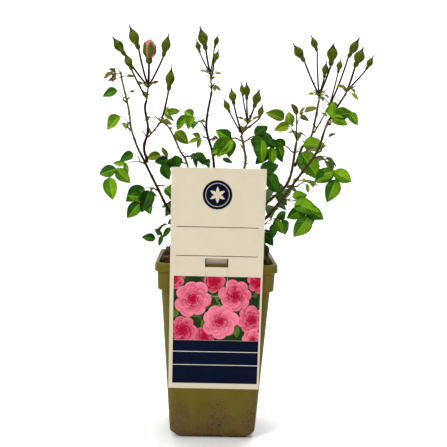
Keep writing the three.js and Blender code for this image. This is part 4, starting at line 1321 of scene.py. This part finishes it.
# Each sprig: name, the cane that bears it, how far up, its stem (length, turn, rise), its tint, then
# its leaves (how far up the stem, turn, rise, reach, blade, leaflets, roll, sag, tint of its own)
# and its buds (how far up the stem, turn, rise, stalk, length, width, lean).
SPRIGS = (
    ("buds_left", "cane_left_inner", 1, (15, 0, 84), "bronze",
     ((0.9, 20, 50, 14, 9, 1, 60, 26), (0.9, 170, 26, 14, 8, 1, 60, 0), (0.5, 100, 20, 20, 12, 1, 0)),
     ((1, 184, 52, 41, 27, 10.5, 55), (1, 165, 74, 41, 32, 11.5, 67), (1, 300, 88, 24, 29, 15.5),
      (1, 15, 64, 36, 29, 10.5, 77), (0.1, 200, 60, 34, 22, 9))),
    ("bud_left_inner", "cane_left_inner", 0.42, (20, 350, 50), "bronze",
     ((0.7, 330, 70, 22, 14, 1, 60, 90),),
     ((1, 350, 77, 34, 30, 10.5),)),
    ("shoot_left_tip", "cane_left_outer", 1, (6, 170, 80), "bronze",
     ((1, 182, 16, 20, 14, 3, 60), (0.5, 340, 0, 14, 9, 1, 60, 0), (1, 120, 50, 18, 11, 1, 0),
      (0.3, 200, -15, 14, 10, 1, 60, 0)),
     ()),
    ("leaves_left_upper", "cane_left_outer", 0.72, (3, 180, 40), "fresh",
     ((1, 183, 90, 30, 19, 1, 70, 110), (1, 30, 60, 18, 8, 1, 60)),
     ()),
    ("leaves_left_outer", "cane_left_outer", 0.36, (3, 180, 50), "fresh",
     ((1, 178, 98, 38, 23, 1, 70, 140), (1, 100, 30, 26, 16, 1, 10)),
     ()),
    ("leaves_left_hanging", "cane_left", 0.93, (4, 178, 25), "fresh",
     ((1, 182, 1, 66, 28, 5, 80, 98), (1, 205, 80, 28, 16, 1, 75, 110, "deep")),
     ()),
    ("leaves_left_low", "cane_left", 0.68, (4, 190, 30), "deep",
     ((1, 186, -50, 42, 25, 3, 80, 0, "fresh"), (1, 170, 14, 34, 29, 1, 70, 49),
      (0.8, 230, 5, 30, 26, 1, 60, 73),
      (1, 120, -30, 30, 18, 3, 20)),
     ()),
    ("leaves_left_front", "cane_left", 0.7, (3, 350, 5), "fresh",
     ((1, 345, -20, 20, 17, 1, 75, 20), (1, 15, 0, 22, 16, 1, 80, 20)),
     ()),
    ("leaves_left_foot", "cane_left", 0.34, (4, 190, 10), "deep",
     ((1, 188, -62, 42, 17, 3, 70, -70), (1, 215, -34, 18, 14, 1, 60, 17), (1, 130, 0, 34, 20, 3, 20)),
     ()),
    ("leaves_left_behind", "cane_left", 0.45, (4, 40, 20), "deep",
     ((1, 30, 10, 40, 24, 3, 20), (1, 90, 15, 42, 24, 3, 10)),
     ()),
    ("leaves_back_left_out", "cane_back_left", 0.66, (4, 185, 10), "deep",
     ((1, 184, 40, 50, 22, 3, 80, 150), (1, 176, 30, 42, 18, 3, 75, 42, "light"),
      (1, 120, 10, 42, 22, 3, 20)),
     ()),
    ("leaves_back_left_in", "cane_back_left", 0.7, (4, 350, 5), "deep",
     ((1, 350, 40, 24, 17, 1, 60, 70), (1, 5, -9, 24, 18, 3, 60, 14),
      (0.8, 200, 50, 38, 18, 1, 80, 150),
      (1, 50, 5, 40, 22, 3, 10)),
     ()),
    ("shoot_back_left_tip", "cane_back_left", 1, (4, 150, 40), "light",
     ((1, 10, 40, 26, 17, 3, 60, 25), (1, 175, 20, 18, 11, 1, 30)),
     ()),
    ("shoot_back_left_side", "cane_back_left", 0.92, (6, 285, 10), "light",
     ((1, 345, -40, 26, 23, 1, 70, 0),),
     ()),
    ("leaves_back_left_low", "cane_back_left", 0.42, (4, 120, 10), "deep",
     ((1, 110, 10, 42, 24, 3, 10), (1, 190, -10, 36, 22, 3, 50), (1, 30, 0, 38, 24, 1, 20)),
     ()),
    ("buds_tall", "cane_tall", 1, (20, 188, 84), "light",
     ((0.9, 190, 33, 13, 8, 1, 60, 17), (0.95, 350, -10, 13, 9, 1, 60, -20),
      (0.3, 330, 8, 14, 9, 1, 70, 49, "bronze"),
      (0.2, 80, 25, 24, 15, 1, 0)),
     ((1, 180, 78, 26, 31, 12, 74), (1, 160, 60, 26, 18, 6.5, 73), (1, 20, 82, 28, 19, 6, 74),
      (0.6, 10, 81, 19, 18, 7, 72))),
    ("leaves_tall_arch", "cane_tall", 0.77, (4, 176, 60), "fresh",
     ((1, 178, 56, 40, 22, 3, 50, 100), (1, 110, 20, 34, 18, 3, 10)),
     ()),
    ("leaves_tall_mid", "cane_tall", 0.68, (3, 350, 30), "light",
     ((1, 352, 20, 22, 18, 1, 65, 0), (1, 60, 10, 38, 20, 3, 10)),
     ()),
    ("leaves_tall_left", "cane_tall", 0.7, (3, 184, 20), "light",
     ((1, 184, -30, 19, 15, 3, 65, -15), (1, 160, 40, 16, 11, 1, 50, 40, "fresh")),
     ()),
    ("leaves_tall_low", "cane_tall", 0.58, (4, 330, 5), "deep",
     ((1, 345, -40, 20, 14, 1, 75, -20), (0.6, 230, -32, 24, 14, 1, 75, -9)),
     ()),
    ("leaves_tall_behind", "cane_tall", 0.4, (4, 80, 10), "deep",
     ((1, 70, 10, 42, 24, 3, 0), (1, 180, -5, 36, 22, 3, 50), (1, 130, 5, 38, 24, 1, 10)),
     ()),
    ("buds_centre", "cane_centre", 1, (16, 350, 64), "light",
     ((0.9, 170, 50, 13, 8, 1, 60, 26), (1, 10, 33, 13, 8, 1, 60, 0), (0.6, 100, 20, 20, 13, 1, 0)),
     ((0.1, 190, 58, 26, 19, 7), (0.1, 150, 71, 33, 21, 9), (1, 185, 77, 28, 17, 6),
      (1, 140, 84, 24, 22, 8),
      (1, 20, 68, 17, 24, 10), (0.4, 340, 37, 20, 18, 7, 76))),
    ("leaves_centre_left", "cane_centre", 0.97, (4, 185, 25), "fresh",
     ((1, 184, 4, 32, 26, 3, 75, 43), (1, 200, 17, 28, 24, 1, 70, 68),
      (1, 165, 50, 22, 18, 1, 60, 110, "deep")),
     ()),
    ("leaves_centre_right", "cane_centre", 0.95, (4, 350, 30), "deep",
     ((1, 352, 45, 34, 24, 3, 70, 75), (1, 325, 45, 46, 26, 1, 75, 135, "fresh"),
      (1, 10, 17, 48, 21, 1, 85, 137)),
     ()),
    ("leaves_centre_low", "cane_centre", 0.66, (4, 350, 10), "deep",
     ((1, 355, 36, 46, 29, 3, 70, 90), (1, 80, 0, 38, 22, 3, 10)),
     ()),
    ("shoot_right_tip", "cane_right", 1, (34, 120, 87), "bronze",
     ((0.05, 178, 71, 50, 25, 3, 70, 46, "light"), (0.55, 182, 100, 26, 16, 1, 60, 35),
      (0.5, 330, 84, 36, 17, 3, 60, 68),
      (0.2, 190, 52, 21, 11, 1, 60, -20, "light"), (0.3, 80, 15, 30, 18, 3, 10)),
     ()),
    ("leaves_right_in", "cane_right", 0.93, (4, 178, 30), "fresh",
     ((1, 178, 52, 48, 23, 3, 85, 140), (1, 170, 45, 22, 17, 1, 60, 20),
      (0.8, 150, 60, 34, 17, 1, 80, 155, "deep")),
     ()),
    ("leaves_right_mid", "cane_right", 0.93, (7, 285, 10), "fresh",
     ((1, 352, 73, 35, 29, 1, 75, 71), (1, 335, 13, 37, 38, 1, 75, 66)),
     ()),
    ("leaves_right_low", "cane_right", 0.5, (5, 260, 0), "deep",
     ((1, 190, 60, 26, 18, 3, 60, 90), (1, 350, 80, 34, 20, 1, 70, 120)),
     ()),
    ("leaves_right_behind", "cane_right", 0.66, (4, 90, 10), "deep",
     ((1, 80, 5, 42, 24, 3, 10), (1, 120, 0, 38, 22, 3, 10)),
     ()),
    ("buds_right_inner", "cane_right_outer", 1, (6, 100, 84), "light",
     ((0.9, 175, 5, 13, 9, 1, 60, 0), (0.9, 20, 13, 14, 9, 1, 60, 35, "bronze"),
      (0.5, 70, 20, 22, 14, 1, 0)),
     ((1, 184, 64, 41, 28, 11, 55), (1, 130, 84, 50, 24, 8.5, 62), (1, 350, 70, 35, 31, 13, 85),
      (0.8, 30, 73, 21, 22, 8, 82))),
    ("buds_right_outer", "cane_right_outer", 0.55, (36, 2, 62), "bronze",
     ((0.7, 20, 80, 24, 12, 1, 60, 90),),
     ((1, 350, 71, 56, 29, 10.5, 62), (0.9, 60, 59, 47, 21, 7.5, 66))),
    ("buds_far_right", "cane_far_right", 1, (4, 0, 72), "light",
     ((1, 345, -38, 15, 11, 1, 60, 0), (0.8, 160, 24, 12, 8, 1, 50, 0), (0.8, 60, 25, 22, 13, 1, 10)),
     ((1, 10, 73, 25, 26, 12, 68), (1, 340, 48, 28, 18, 7, 64))),
    ("leaves_far_right_top", "cane_far_right", 0.83, (5, 300, 10), "fresh",
     ((1, 352, 95, 30, 23, 3, 75, 85), (1, 335, 65, 41, 16, 1, 70, 114),
      (0.5, 190, 85, 16, 9, 1, 60, 49)),
     ()),
    ("leaves_far_right_side", "cane_far_right", 0.7, (3, 350, 30), "bronze",
     ((1, 355, 80, 25, 10, 1, 60, 50), (1, 110, 20, 34, 18, 3, 10)),
     ()),
    ("leaves_far_right_hang", "cane_far_right", 0.67, (4, 352, 15), "fresh",
     ((1, 354, -27, 57, 29, 3, 85, 81), (1, 335, 10, 56, 25, 1, 80, 170), (1, 60, 0, 38, 20, 3, 10)),
     ()),
    ("leaves_far_right_mid", "cane_far_right", 0.5, (4, 345, 0), "light",
     ((1, 350, 60, 22, 12, 1, 60, 130), (1, 60, 25, 42, 24, 3, 10)),
     ()),
    ("leaves_far_right_low", "cane_far_right", 0.42, (4, 350, 5), "fresh",
     ((1, 352, 5, 63, 31, 3, 85, 129), (1, 340, -30, 32, 28, 1, 70, -15), (1, 5, 40, 20, 17, 1, 65, 28),
      (0.7, 15, 2, 45, 24, 1, 80, 68, "deep")),
     ()),
    ("leaves_far_right_in", "cane_far_right", 0.36, (3, 20, 20), "deep",
     ((1, 100, 10, 36, 22, 3, 10),),
     ()),
    ("leaves_far_right_foot", "cane_far_right", 0.24, (4, 345, -20), "deep",
     ((1, 25, 60, 52, 21, 3, 80, 130), (1, 330, 70, 38, 17, 1, 75, 125, "fresh"),
      (1, 5, 70, 30, 16, 1, 80, 150),
      (1, 80, -5, 34, 20, 3, 10)),
     ()),
    ("leaves_far_right_base", "cane_far_right", 0.12, (4, 345, -10), "deep",
     ((1, 345, 55, 42, 18, 1, 70, 105), (1, 40, 0, 38, 22, 3, 10)),
     ()),
)


def blade_axes(along, turn, roll):
    """A blade's side and its upper face's way, rolled about its length."""
    level = direction(turn + 90, 0)
    up = along.cross(level).normalized()
    rolled = Matrix.Rotation(math.radians(roll), 3, along)
    return rolled @ level, rolled @ up


def half_width(u):
    """A blade's outline: its half width a share of the way along, 1 at its widest."""
    return u ** 0.6 * (1 - u) ** 0.95 / 0.355


def turned_over(faces):
    return [face[::-1] for face in faces]


def leaflet(growth, root, along, side, up, length, breadth, draw):
    """A toothed blade, folded along its midrib, as one closed body."""
    rows = TEETH * TOOTH_ROWS
    width = length * (breadth if length > 15 else BRACT_WIDTH) / 2
    points = []
    uvs = []
    shade = draw(0, 1)
    wave = draw(0, 6.28)
    curl = draw(0.5, 2.3)
    fold = draw(0.35, 0.95)
    twist = draw(-0.4, 0.4)
    n = BLADE_COLUMNS + 1
    for k in range(rows + 1):
        u = k / rows
        arch = math.sin(math.pi * u)
        tooth = (k % TOOTH_ROWS) / (TOOTH_ROWS - 1) if 0 < k < rows else 0.5
        reach = half_width(u) * width * (0.93 + 0.11 * tooth)
        for layer in (1, -1):
            for c in range(n):
                v = 2 * c / BLADE_COLUMNS - 1
                inside = 1 - abs(v) ** 3
                sweep = 0.035 * abs(v) * tooth * length * (1 if u < 0.97 else 0)
                folded = fold * width * abs(v) ** 1.3 * math.sin(math.pi * u ** 0.6) * 0.8
                curled = 0.035 * arch - 0.10 * u * u * curl
                waved = 0.022 * v * v * math.sin(u * 11 + wave + v)
                quilted = 0.012 * inside * arch * abs(math.sin(math.pi * (u * 7 - abs(v) * 1.6)))
                thick = layer * LEAF_THICK / 2 * inside * arch ** 0.4
                lean = v * reach * math.sin(twist * u)
                lift = folded + (curled + waved + quilted) * length + thick + lean
                flat = v * reach * math.cos(twist * u)
                run = u * length * BLADE_REACH + sweep
                points.append(root + along * run + side * flat + up * lift)
                uvs.append((u, c / BLADE_COLUMNS))
    top = sheet_faces(rows, BLADE_COLUMNS, 0, 2 * n)
    under = turned_over(sheet_faces(rows, BLADE_COLUMNS, n, 2 * n))
    skins = [0] * len(top) + [1] * len(under)
    growth.add(points, top + under, [shade] * len(points), uvs, skins)


def stipules(growth, route, draw):
    """Two narrow wings that hug the foot of a leaf stalk."""
    reach = min(STIPULE_REACH, route.length * 0.45)
    for hand in (-1, 1):
        points = []
        uvs = []
        for k in range(7):
            share = k / 6
            place = route.spot(share * reach / route.length)
            along = route.heading(share * reach / route.length)
            side = along.cross(Vector((0, 0, 1))).normalized() * hand
            up = side.cross(along) * hand
            wide = 1.15 * math.sin(math.pi * min(1, share * 0.85 + 0.15)) + (0.5 if k == 5 else 0)
            for across, lift in ((0.25, 0.15), (0.45 + wide, 0.25), (0.25, -0.12)):
                ahead = 0.9 * share if across > 0.3 else 0
                points.append(place + side * across + up * lift + along * ahead)
                uvs.append((share, 0.5 + across / 5))
        faces = tube_faces(6, 3) + [(2, 1, 0), (18, 19, 20)]
        if hand > 0:
            faces = turned_over(faces)
        growth.add(points, faces, [draw(0, 1)] * len(points), uvs)


def solid_tester(name):
    """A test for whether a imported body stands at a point."""
    source = bpy.data.objects[name]
    search = BVHTree.FromObject(source, bpy.context.evaluated_depsgraph_get())
    return lambda point, reach=2.5: search.find_nearest(point * MM, reach * MM)[0] is not None


stalks = Growth()
leaf_growths = {tint: Growth() for tint in TINTS}
loose_draw = park_miller(991)


def compound_leaf(tint, base, spec, draw, stands):
    """A leaf by its row: turn, rise, reach, blade, leaflets, roll, and its sag if it has its own."""
    turn, rise, reach, blade, count, roll = spec[1:7]
    sag = spec[7] if len(spec) > 7 else LEAF_SAG
    stalk = reach - blade * 0.85
    lean = -1 if math.cos(math.radians(turn)) < 0 else 1
    middle = base + direction(turn, rise) * stalk * 0.5
    end = middle + direction(turn, rise - sag * 0.6) * stalk * 0.5
    route = bent_route(base, middle, end)
    blades = []
    for k in range((count - 1) // 2 + 1):
        place = route.spot(1 - 0.3 * k)
        heading = rise - sag * (1 - 0.25 * k)
        size = blade * (1 - 0.22 * k) * draw(0.92, 1.05)
        for hand in ((0,) if k == 0 else (-1, 1)):
            along = direction(turn, heading)
            side, up = blade_axes(along, turn, roll * lean)
            spread = hand * (LEAFLET_SPREAD - 6 * k + draw(-6, 6))
            opened = Matrix.Rotation(math.radians(spread), 3, up)
            blades.append((place, opened @ along, opened @ side, up, size))
    place, along, side, up, size = blades[0]
    if not stands(place + along * size * 0.5):
        return
    breadth, age = (YOUNG_WIDTH, 0.6) if tint == "bronze" else (LEAF_WIDTH, 0.3)
    for place, along, side, up, size in blades:
        leaflet(leaf_growths[tint], place, along, side, up, size, breadth, loose_draw)
    girth = (RACHIS_RADIUS, RACHIS_RADIUS * 0.6)
    round_stem(stalks, route, girth, sides=7, step=2.0, mark=(age, 0.05), back=LEAF_SINK)
    stipules(leaf_growths[tint], route, loose_draw)


def vein_group():
    """Midrib and side veins over a blade's own length and width."""
    group, feed = new_group(
        "ShaderNodeTree", "leaf_veins", [("Vector", "Vector", None), ("Side Veins", "Float", 8.0)],
        [("Vein", "Float"), ("Height", "Float"), ("Rim", "Float")])

    def from_middle(value):
        """Twice a value's distance from one half."""
        return multiplied(group, worked(group, "ABSOLUTE", worked(group, "SUBTRACT", value, 0.5)), 2.0)

    split = add_node(group, "ShaderNodeSeparateXYZ", feed["Vector"]).outputs
    off = from_middle(split["Y"])
    run = multiplied(group, split["X"], feed["Side Veins"])
    slanted = worked(group, "SUBTRACT", run, multiplied(group, off, 2.3))
    far = from_middle(worked(group, "FRACT", worked(group, "ADD", slanted, 20.0)))
    side_vein = multiplied(group, spread_to(group, far, 0.84, 1.0), spread_to(group, off, 1.0, 0.5))
    vein = worked(group, "MAXIMUM", side_vein, spread_to(group, off, 0.11, 0.02))
    net = add_node(
        group, "ShaderNodeTexVoronoi", feature="DISTANCE_TO_EDGE", Vector=feed["Vector"], Scale=26.0)
    mesh = spread_to(group, net.outputs["Distance"], 0.0, 0.22)
    quilt = worked(group, "MULTIPLY_ADD", mesh, 0.35, 0.65)
    raised = multiplied(group, worked(group, "SUBTRACT", 1.0, vein), quilt)
    rim = spread_to(group, off, 0.72, 1.0)
    add_node(group, "NodeGroupOutput", Vein=vein, Height=raised, Rim=rim)
    return group


VEINS = vein_group()


def leaf_finish(name, deep, pale, under=False):
    """A blade's skin: one half given painted shade, darker than the other as light falls on a fold, with
    pale veins and a deep rim.
    """
    roughness = 0.62 if under else 0.34
    made, tree, shader = new_material(name, roughness, specular=0.04 if under else 0.07)
    run = piece_run(tree)
    veins = add_node(tree, "ShaderNodeGroup", node_tree=VEINS, Vector=run).outputs
    cloud = add_mottle(tree, (), scale=120.0, contrast=0.4, grain=1600.0)
    sway = spread_to(tree, cloud["Mask"], 0.0, 1.0, -0.35, 0.25)
    across = add_node(tree, "ShaderNodeSeparateXYZ", run).outputs["Y"]
    # Painted shade: one half of each blade is darkened and the other lightened, as light falls across a
    # folded leaf.
    painted_fold_shade = spread_to(tree, across, 0.42, 0.58, -0.3, 0.18)
    tone = worked(tree, "ADD", worked(tree, "ADD", point_mark(tree), sway), painted_fold_shade, clamp=True)
    vein_colour = tuple(min(1.0, c * 1.5 + 0.03) for c in pale[:3]) + (1.0,)
    colour = blended(tree, tone, deep, pale)
    colour = blended(tree, multiplied(tree, veins["Vein"], 0.5), colour, vein_colour)
    colour = blended(tree, multiplied(tree, veins["Rim"], 0.6), colour, deep)
    sheen = spread_to(tree, veins["Height"], 0.0, 1.0, roughness + 0.1, roughness - 0.05)
    dress(tree, shader, colour, sheen, veins["Height"], depth=0.0005, strength=0.6)
    return made


# ---- Buds: closed rose buds on thin upright stalks, each a hip under five long sepals ----
# The green sepals fold round the petals and run out in leafy points. On the ripest buds they
# part and show the pink petals. Narrow bracts stand where the stalks spring.

HIP_GREEN = (0.022, 0.055, 0.002, 1.0)
HIP_RED = (0.06, 0.065, 0.01, 1.0)
SEPAL_GREEN = (0.012, 0.028, 0.001, 1.0)
SEPAL_PALE = (0.09, 0.13, 0.003, 1.0)
SEPAL_BLUSH = (0.1, 0.03, 0.01, 1.0)
SEPAL_POINT = (0.016, 0.018, 0.012, 1.0)
BRACT_RED = (0.14, 0.045, 0.02, 1.0)
BRACT_GREEN = (0.2, 0.22, 0.02, 1.0)
PETAL_PINK = (0.33, 0.07, 0.085, 1.0)
PETAL_CREAM = (0.46, 0.17, 0.15, 1.0)
PEDICEL_THIN = 0.6
PEDICEL_SHARE = 0.05
PEDICEL_SINK = 1.0
PARTING_WIDTH = 14
SEPAL_FOOT = 0.2
SEPAL_THICK = 0.2
SEPAL_INSET = 0.25
BUD_WIDEST = 0.46
SEPAL_ROWS = 14
SEPAL_COLUMNS = 6
SPRAY_SCALES = (0.1, 0.25, 0.42, 0.56, 0.7, 0.83, 0.95)
SCALE_TURN = 1296
TURN_PER_JOINT = 137
# Canes with scales at their joints, and how far up the first one stands.
SCALY_CANES = (
    ("cane_left_inner", 0.2),
    ("cane_left_outer", 0.1),
    ("cane_tall", 0.55),
    ("cane_centre", 0.6),
    ("cane_right_outer", 0.2),
    ("cane_far_right", 0.6),
    ("cane_back_left", 0.6),
)
# The hip: heights as shares of the bud's length, radii as shares of its width.
BUD_PROFILE = ((0.0, 0.09), (0.04, 0.19), (0.11, 0.25), (0.18, 0.23), (0.24, 0.2))

hips = Growth()
sepals = Growth()
petals = Growth()
bracts = Growth()


def turned_axes(along):
    """Two ways square to a bud's axis."""
    side = along.orthogonal().normalized()
    return side, along.cross(side)


def lathe(growth, base, along, profile, sides, mark, ripple=0.0):
    """A closed round body: the profile gives heights and radii from foot to tip."""
    side, other = turned_axes(along)
    points = [base + along * profile[0][0]]
    uvs = [(0.0, 0.5)]
    for k, (height, radius) in enumerate(profile):
        for i, angle in enumerate(around(sides)):
            swell = radius * (1 + ripple * math.cos(5 * angle + 0.6 * k))
            out = (side * math.cos(angle) + other * math.sin(angle)) * swell
            points.append(base + along * height + out)
            uvs.append((k / len(profile), abs(2 * i / sides - 1)))
    points.append(base + along * profile[-1][0])
    uvs.append((1.0, 0.5))
    spans = len(profile) - 1
    faces = tube_faces(spans, sides, 1) + cap_faces(0, 1, len(points) - 1, 1 + spans * sides, sides)
    growth.add(points, faces, [mark] * len(points), uvs)


def bud_radius(height, opened):
    """How far a sepal stands from the bud's axis, as a share of the bud's width."""
    if height < BUD_WIDEST:
        return 0.2 + 0.28 * math.sin(math.pi / 2 * max(0, height - SEPAL_FOOT) / 0.26)
    fall = min(1, (height - BUD_WIDEST) / 0.34)
    closed = 0.052 + 0.428 * math.cos(math.pi / 2 * fall) ** 1.5
    return lerp(closed, 0.5 - 0.1 * fall, opened)


def sepal(base, along, length, width, turn, opened, draw):
    """One sepal: it hugs the bud, then narrows to a free point."""
    side, other = turned_axes(along)
    points = []
    uvs = []
    sway = draw(-0.12, 0.12)
    free = draw(0.0, 0.16)
    reach = length * lerp(1, 0.86, opened) * draw(0.865, 0.945)
    n = SEPAL_COLUMNS + 1
    for k in range(SEPAL_ROWS + 1):
        s = k / SEPAL_ROWS
        height = lerp(SEPAL_FOOT, reach / length, s)
        radius = width * (bud_radius(height, opened) + free * max(0, s - 0.6))
        half = 0.78 * math.sin(math.pi * (0.2 + 0.8 * s ** 1.5)) ** 0.7 if k < SEPAL_ROWS else 0.02
        half *= lerp(1, 0.6, opened)
        for layer in (1, -1):
            for c in range(n):
                v = 2 * c / SEPAL_COLUMNS - 1
                angle = turn + sway * s + v * half
                thick = SEPAL_THICK * layer * (1 - abs(v) ** 3) + SEPAL_THICK * (1 - abs(v)) * (layer > 0)
                out = radius - SEPAL_INSET + thick
                outward = side * math.cos(angle) + other * math.sin(angle)
                points.append(base + along * length * height + outward * out)
                uvs.append((s * lerp(1, 0.65, opened), 0.5 + v / 2))
    outer = turned_over(sheet_faces(SEPAL_ROWS, SEPAL_COLUMNS, 0, 2 * n))
    inner = sheet_faces(SEPAL_ROWS, SEPAL_COLUMNS, n, 2 * n)
    foot = sheet_faces(1, SEPAL_COLUMNS, 0, n)
    point = turned_over(sheet_faces(1, SEPAL_COLUMNS, SEPAL_ROWS * 2 * n, n))
    faces = outer + inner + foot + point
    sepals.add(points, faces, [draw(0, 1)] * len(points), uvs)


def rose_bud(base, along, length, width, draw):
    """A hip, the petals above it and five sepals round them; only the widest bud is parting."""
    hip = [(length * h, width * r) for h, r in BUD_PROFILE]
    lathe(hips, base, along, hip, 14, draw(0, 1))
    opened = 1.0 if width >= PARTING_WIDTH else 0.0
    core = []
    for k in range(13):
        s = k / 12
        height = lerp(SEPAL_FOOT, lerp(0.74, 0.9, opened), s)
        radius = bud_radius(height, 0.0) - 0.05
        if opened:
            closing = math.cos(math.pi / 2 * max(0, s - 0.55) / 0.47) ** 0.6
            radius = 0.44 * min(1, 0.42 + 1.6 * s) * closing
        core.append((length * height, width * max(0.015, radius)))
    lathe(petals, base, along, core, 24, 0.9 if opened else 0.4, ripple=0.07 * opened)
    start = draw(0, 6.28)
    for turn in around(5):
        sepal(base, along, length, width, start + turn, opened, draw)


def bract(base, along, turn, draw, size=1.0):
    """A narrow curved scale that springs from a joint."""
    reach = draw(6, 12) * size
    heading = (along * 0.5 + direction(turn, 10) * draw(0.6, 1.2)).normalized()
    side = heading.cross(Vector((0, 0, 1))).normalized()
    up = side.cross(heading)
    hook = draw(-2.2, 1.2)
    points = []
    uvs = []
    for k in range(7):
        s = k / 6
        wide = 1.4 * size * math.sin(math.pi * (0.14 + 0.86 * s)) ** 0.8 if k < 6 else 0.0
        centre = base + heading * reach * s + up * (hook * s * s)
        rim = 0.25 * wide
        points += [centre - side * wide + up * rim, centre + up * 0.1]
        points += [centre + side * wide + up * rim, centre - up * 0.15]
        uvs += [(s, 0.0), (s, 0.5), (s, 1.0), (s, 0.5)]
    faces = turned_over(tube_faces(6, 4)) + [(0, 1, 2, 3), (27, 26, 25, 24)]
    bracts.add(points, faces, [draw(0, 1)] * len(points), uvs)


def joint_scales(name, first, draw):
    """Scales at the upper joints of a cane, each a part turn from the last."""
    route, girth = limbs[name]
    for k in range(int(route.length / JOINT_STEP)):
        share = (k + 0.5) * JOINT_STEP / route.length
        if share < first or share > 0.97:
            continue
        turn = TURN_PER_JOINT * k + draw(-20, 20)
        along = route.heading(share)
        out = direction(turn, 0)
        out = (out - along * out.dot(along)).normalized()
        bract(route.spot(share) + out * lerp(*girth, share) * 0.7, along, turn, draw)


def budded_stalk(base, spec, stands):
    """A bud by its row: turn, rise, stalk, length, width, and its own lean if it has one."""
    turn, rise, pedicel, length, width = spec[1:6]
    lean = spec[6] if len(spec) > 6 else min(88, rise + 6)
    middle = base + direction(turn, rise - 4) * pedicel * 0.5
    end = middle + direction(turn, rise + 4) * pedicel * 0.5
    if not stands(end):
        return
    route = bent_route(base, middle, end)
    along = direction(turn, lean)
    thick = PEDICEL_THIN + PEDICEL_SHARE * width
    girth = (thick, thick * 0.92)
    round_stem(stalks, route, girth, sides=8, step=1.6, mark=(0.95, 0.7), back=PEDICEL_SINK)
    rose_bud(end, along, length, width, loose_draw)
    for hand in (-60, 40, 170):
        bract(base, direction(turn, rise), turn + hand, loose_draw)
    bract(route.spot(loose_draw(0.2, 0.5)), along, turn + 90, loose_draw, 0.6)


for index, (name, bearer, at, stem, tint, leaves, buds) in enumerate(SPRIGS):
    route, girth = limbs[bearer]
    draw = park_miller(1000 + 77 * index)
    length, turn, rise = stem
    heading = direction(turn, rise)
    foot = spring_point(bearer, at, route.spot(at) + heading * 10, TWIG_RADIUS)
    tip = foot + heading * length
    twig = Route([foot.lerp(tip, k / 10) for k in range(11)])
    slender = (TWIG_RADIUS, TWIG_RADIUS * 0.8)
    round_stem(stalks, twig, slender, sides=8, step=1.6, mark=(0.7, 0.6), back=TWIG_SINK)
    stands = solid_tester(name)
    farthest = 1 - 0.6 / length
    for spec in leaves:
        base = foot.lerp(tip, min(spec[0], farthest))
        compound_leaf(spec[8] if len(spec) > 8 else tint, base, spec, draw, stands)
    for spec in buds:
        budded_stalk(foot.lerp(tip, min(spec[0], farthest)), spec, stands)
    for share in SPRAY_SCALES if buds else ():
        bract(foot.lerp(tip, share), heading, SCALE_TURN * share, loose_draw, 1.25)

for name, first in SCALY_CANES:
    joint_scales(name, first, loose_draw)

seat_piece(stalks.piece("leaf_and_bud_stalks", BARK), "bark")
for tint, (deep, pale) in TINTS.items():
    below = tuple(lerp(c, high, 0.2) for c, high in zip(deep, UNDERSIDE_PALE)) + (1.0,)
    paler = tuple(lerp(c, high, 0.35) for c, high in zip(pale, UNDERSIDE_PALE)) + (1.0,)
    blades = leaf_growths[tint].piece(
        "leaves_" + tint, leaf_finish("leaf_" + tint, deep, pale),
        leaf_finish("leaf_underside_" + tint, below, paler, True))
    seat_piece(blades, "foliage", *[row[0] for row in SPRIGS if row[4] == tint and not row[6]])


def bud_finish(name, first, second, scale, roughness, blush=None, point=None):
    """A bud's skin: two tones by each part's mark, streaked with a blush, its point darker."""
    made, tree, shader = new_material(name, roughness, specular=0.05)
    mark = point_mark(tree)
    cloud = add_mottle(tree, (first, second), scale=scale, contrast=0.6, grain=1900.0)
    lines = drawn_out(tree, (1.5, 16.0, 1.0), 3.0)
    colour = blended(tree, multiplied(tree, mark, 0.5), cloud["Colour"], second)
    if blush:
        flushed = multiplied(tree, spread_to(tree, lines, 0.45, 0.7), mark)
        colour = blended(tree, multiplied(tree, flushed, 0.8), colour, blush)
    if point:
        along = add_node(tree, "ShaderNodeSeparateXYZ", piece_run(tree)).outputs["X"]
        colour = blended(tree, spread_to(tree, along, 0.55, 0.8), colour, point)
    sheen = spread_to(tree, lines, 0.3, 0.7, roughness - 0.08, roughness + 0.1)
    dress(tree, shader, colour, sheen, lines, depth=0.0004, strength=0.5)
    return made


for growth, name, slot, finish in (
    (hips, "bud_hips", "buds", bud_finish("hip_green", HIP_GREEN, HIP_RED, 180.0, 0.45, SEPAL_BLUSH)),
    (petals, "bud_petals", "buds", bud_finish("petal_pink", PETAL_PINK, PETAL_CREAM, 120.0, 0.5)),
    (bracts, "joint_bracts", "foliage", bud_finish("bract_red", BRACT_RED, BRACT_GREEN, 90.0, 0.5)),
):
    seat_piece(growth.piece(name, finish), slot)
sepal_skin = bud_finish("sepal_green", SEPAL_GREEN, SEPAL_PALE, 150.0, 0.5, SEPAL_BLUSH, SEPAL_POINT)
seat_piece(sepals.piece("bud_sepals", sepal_skin), "buds", *[row[0] for row in SPRIGS if row[6]])
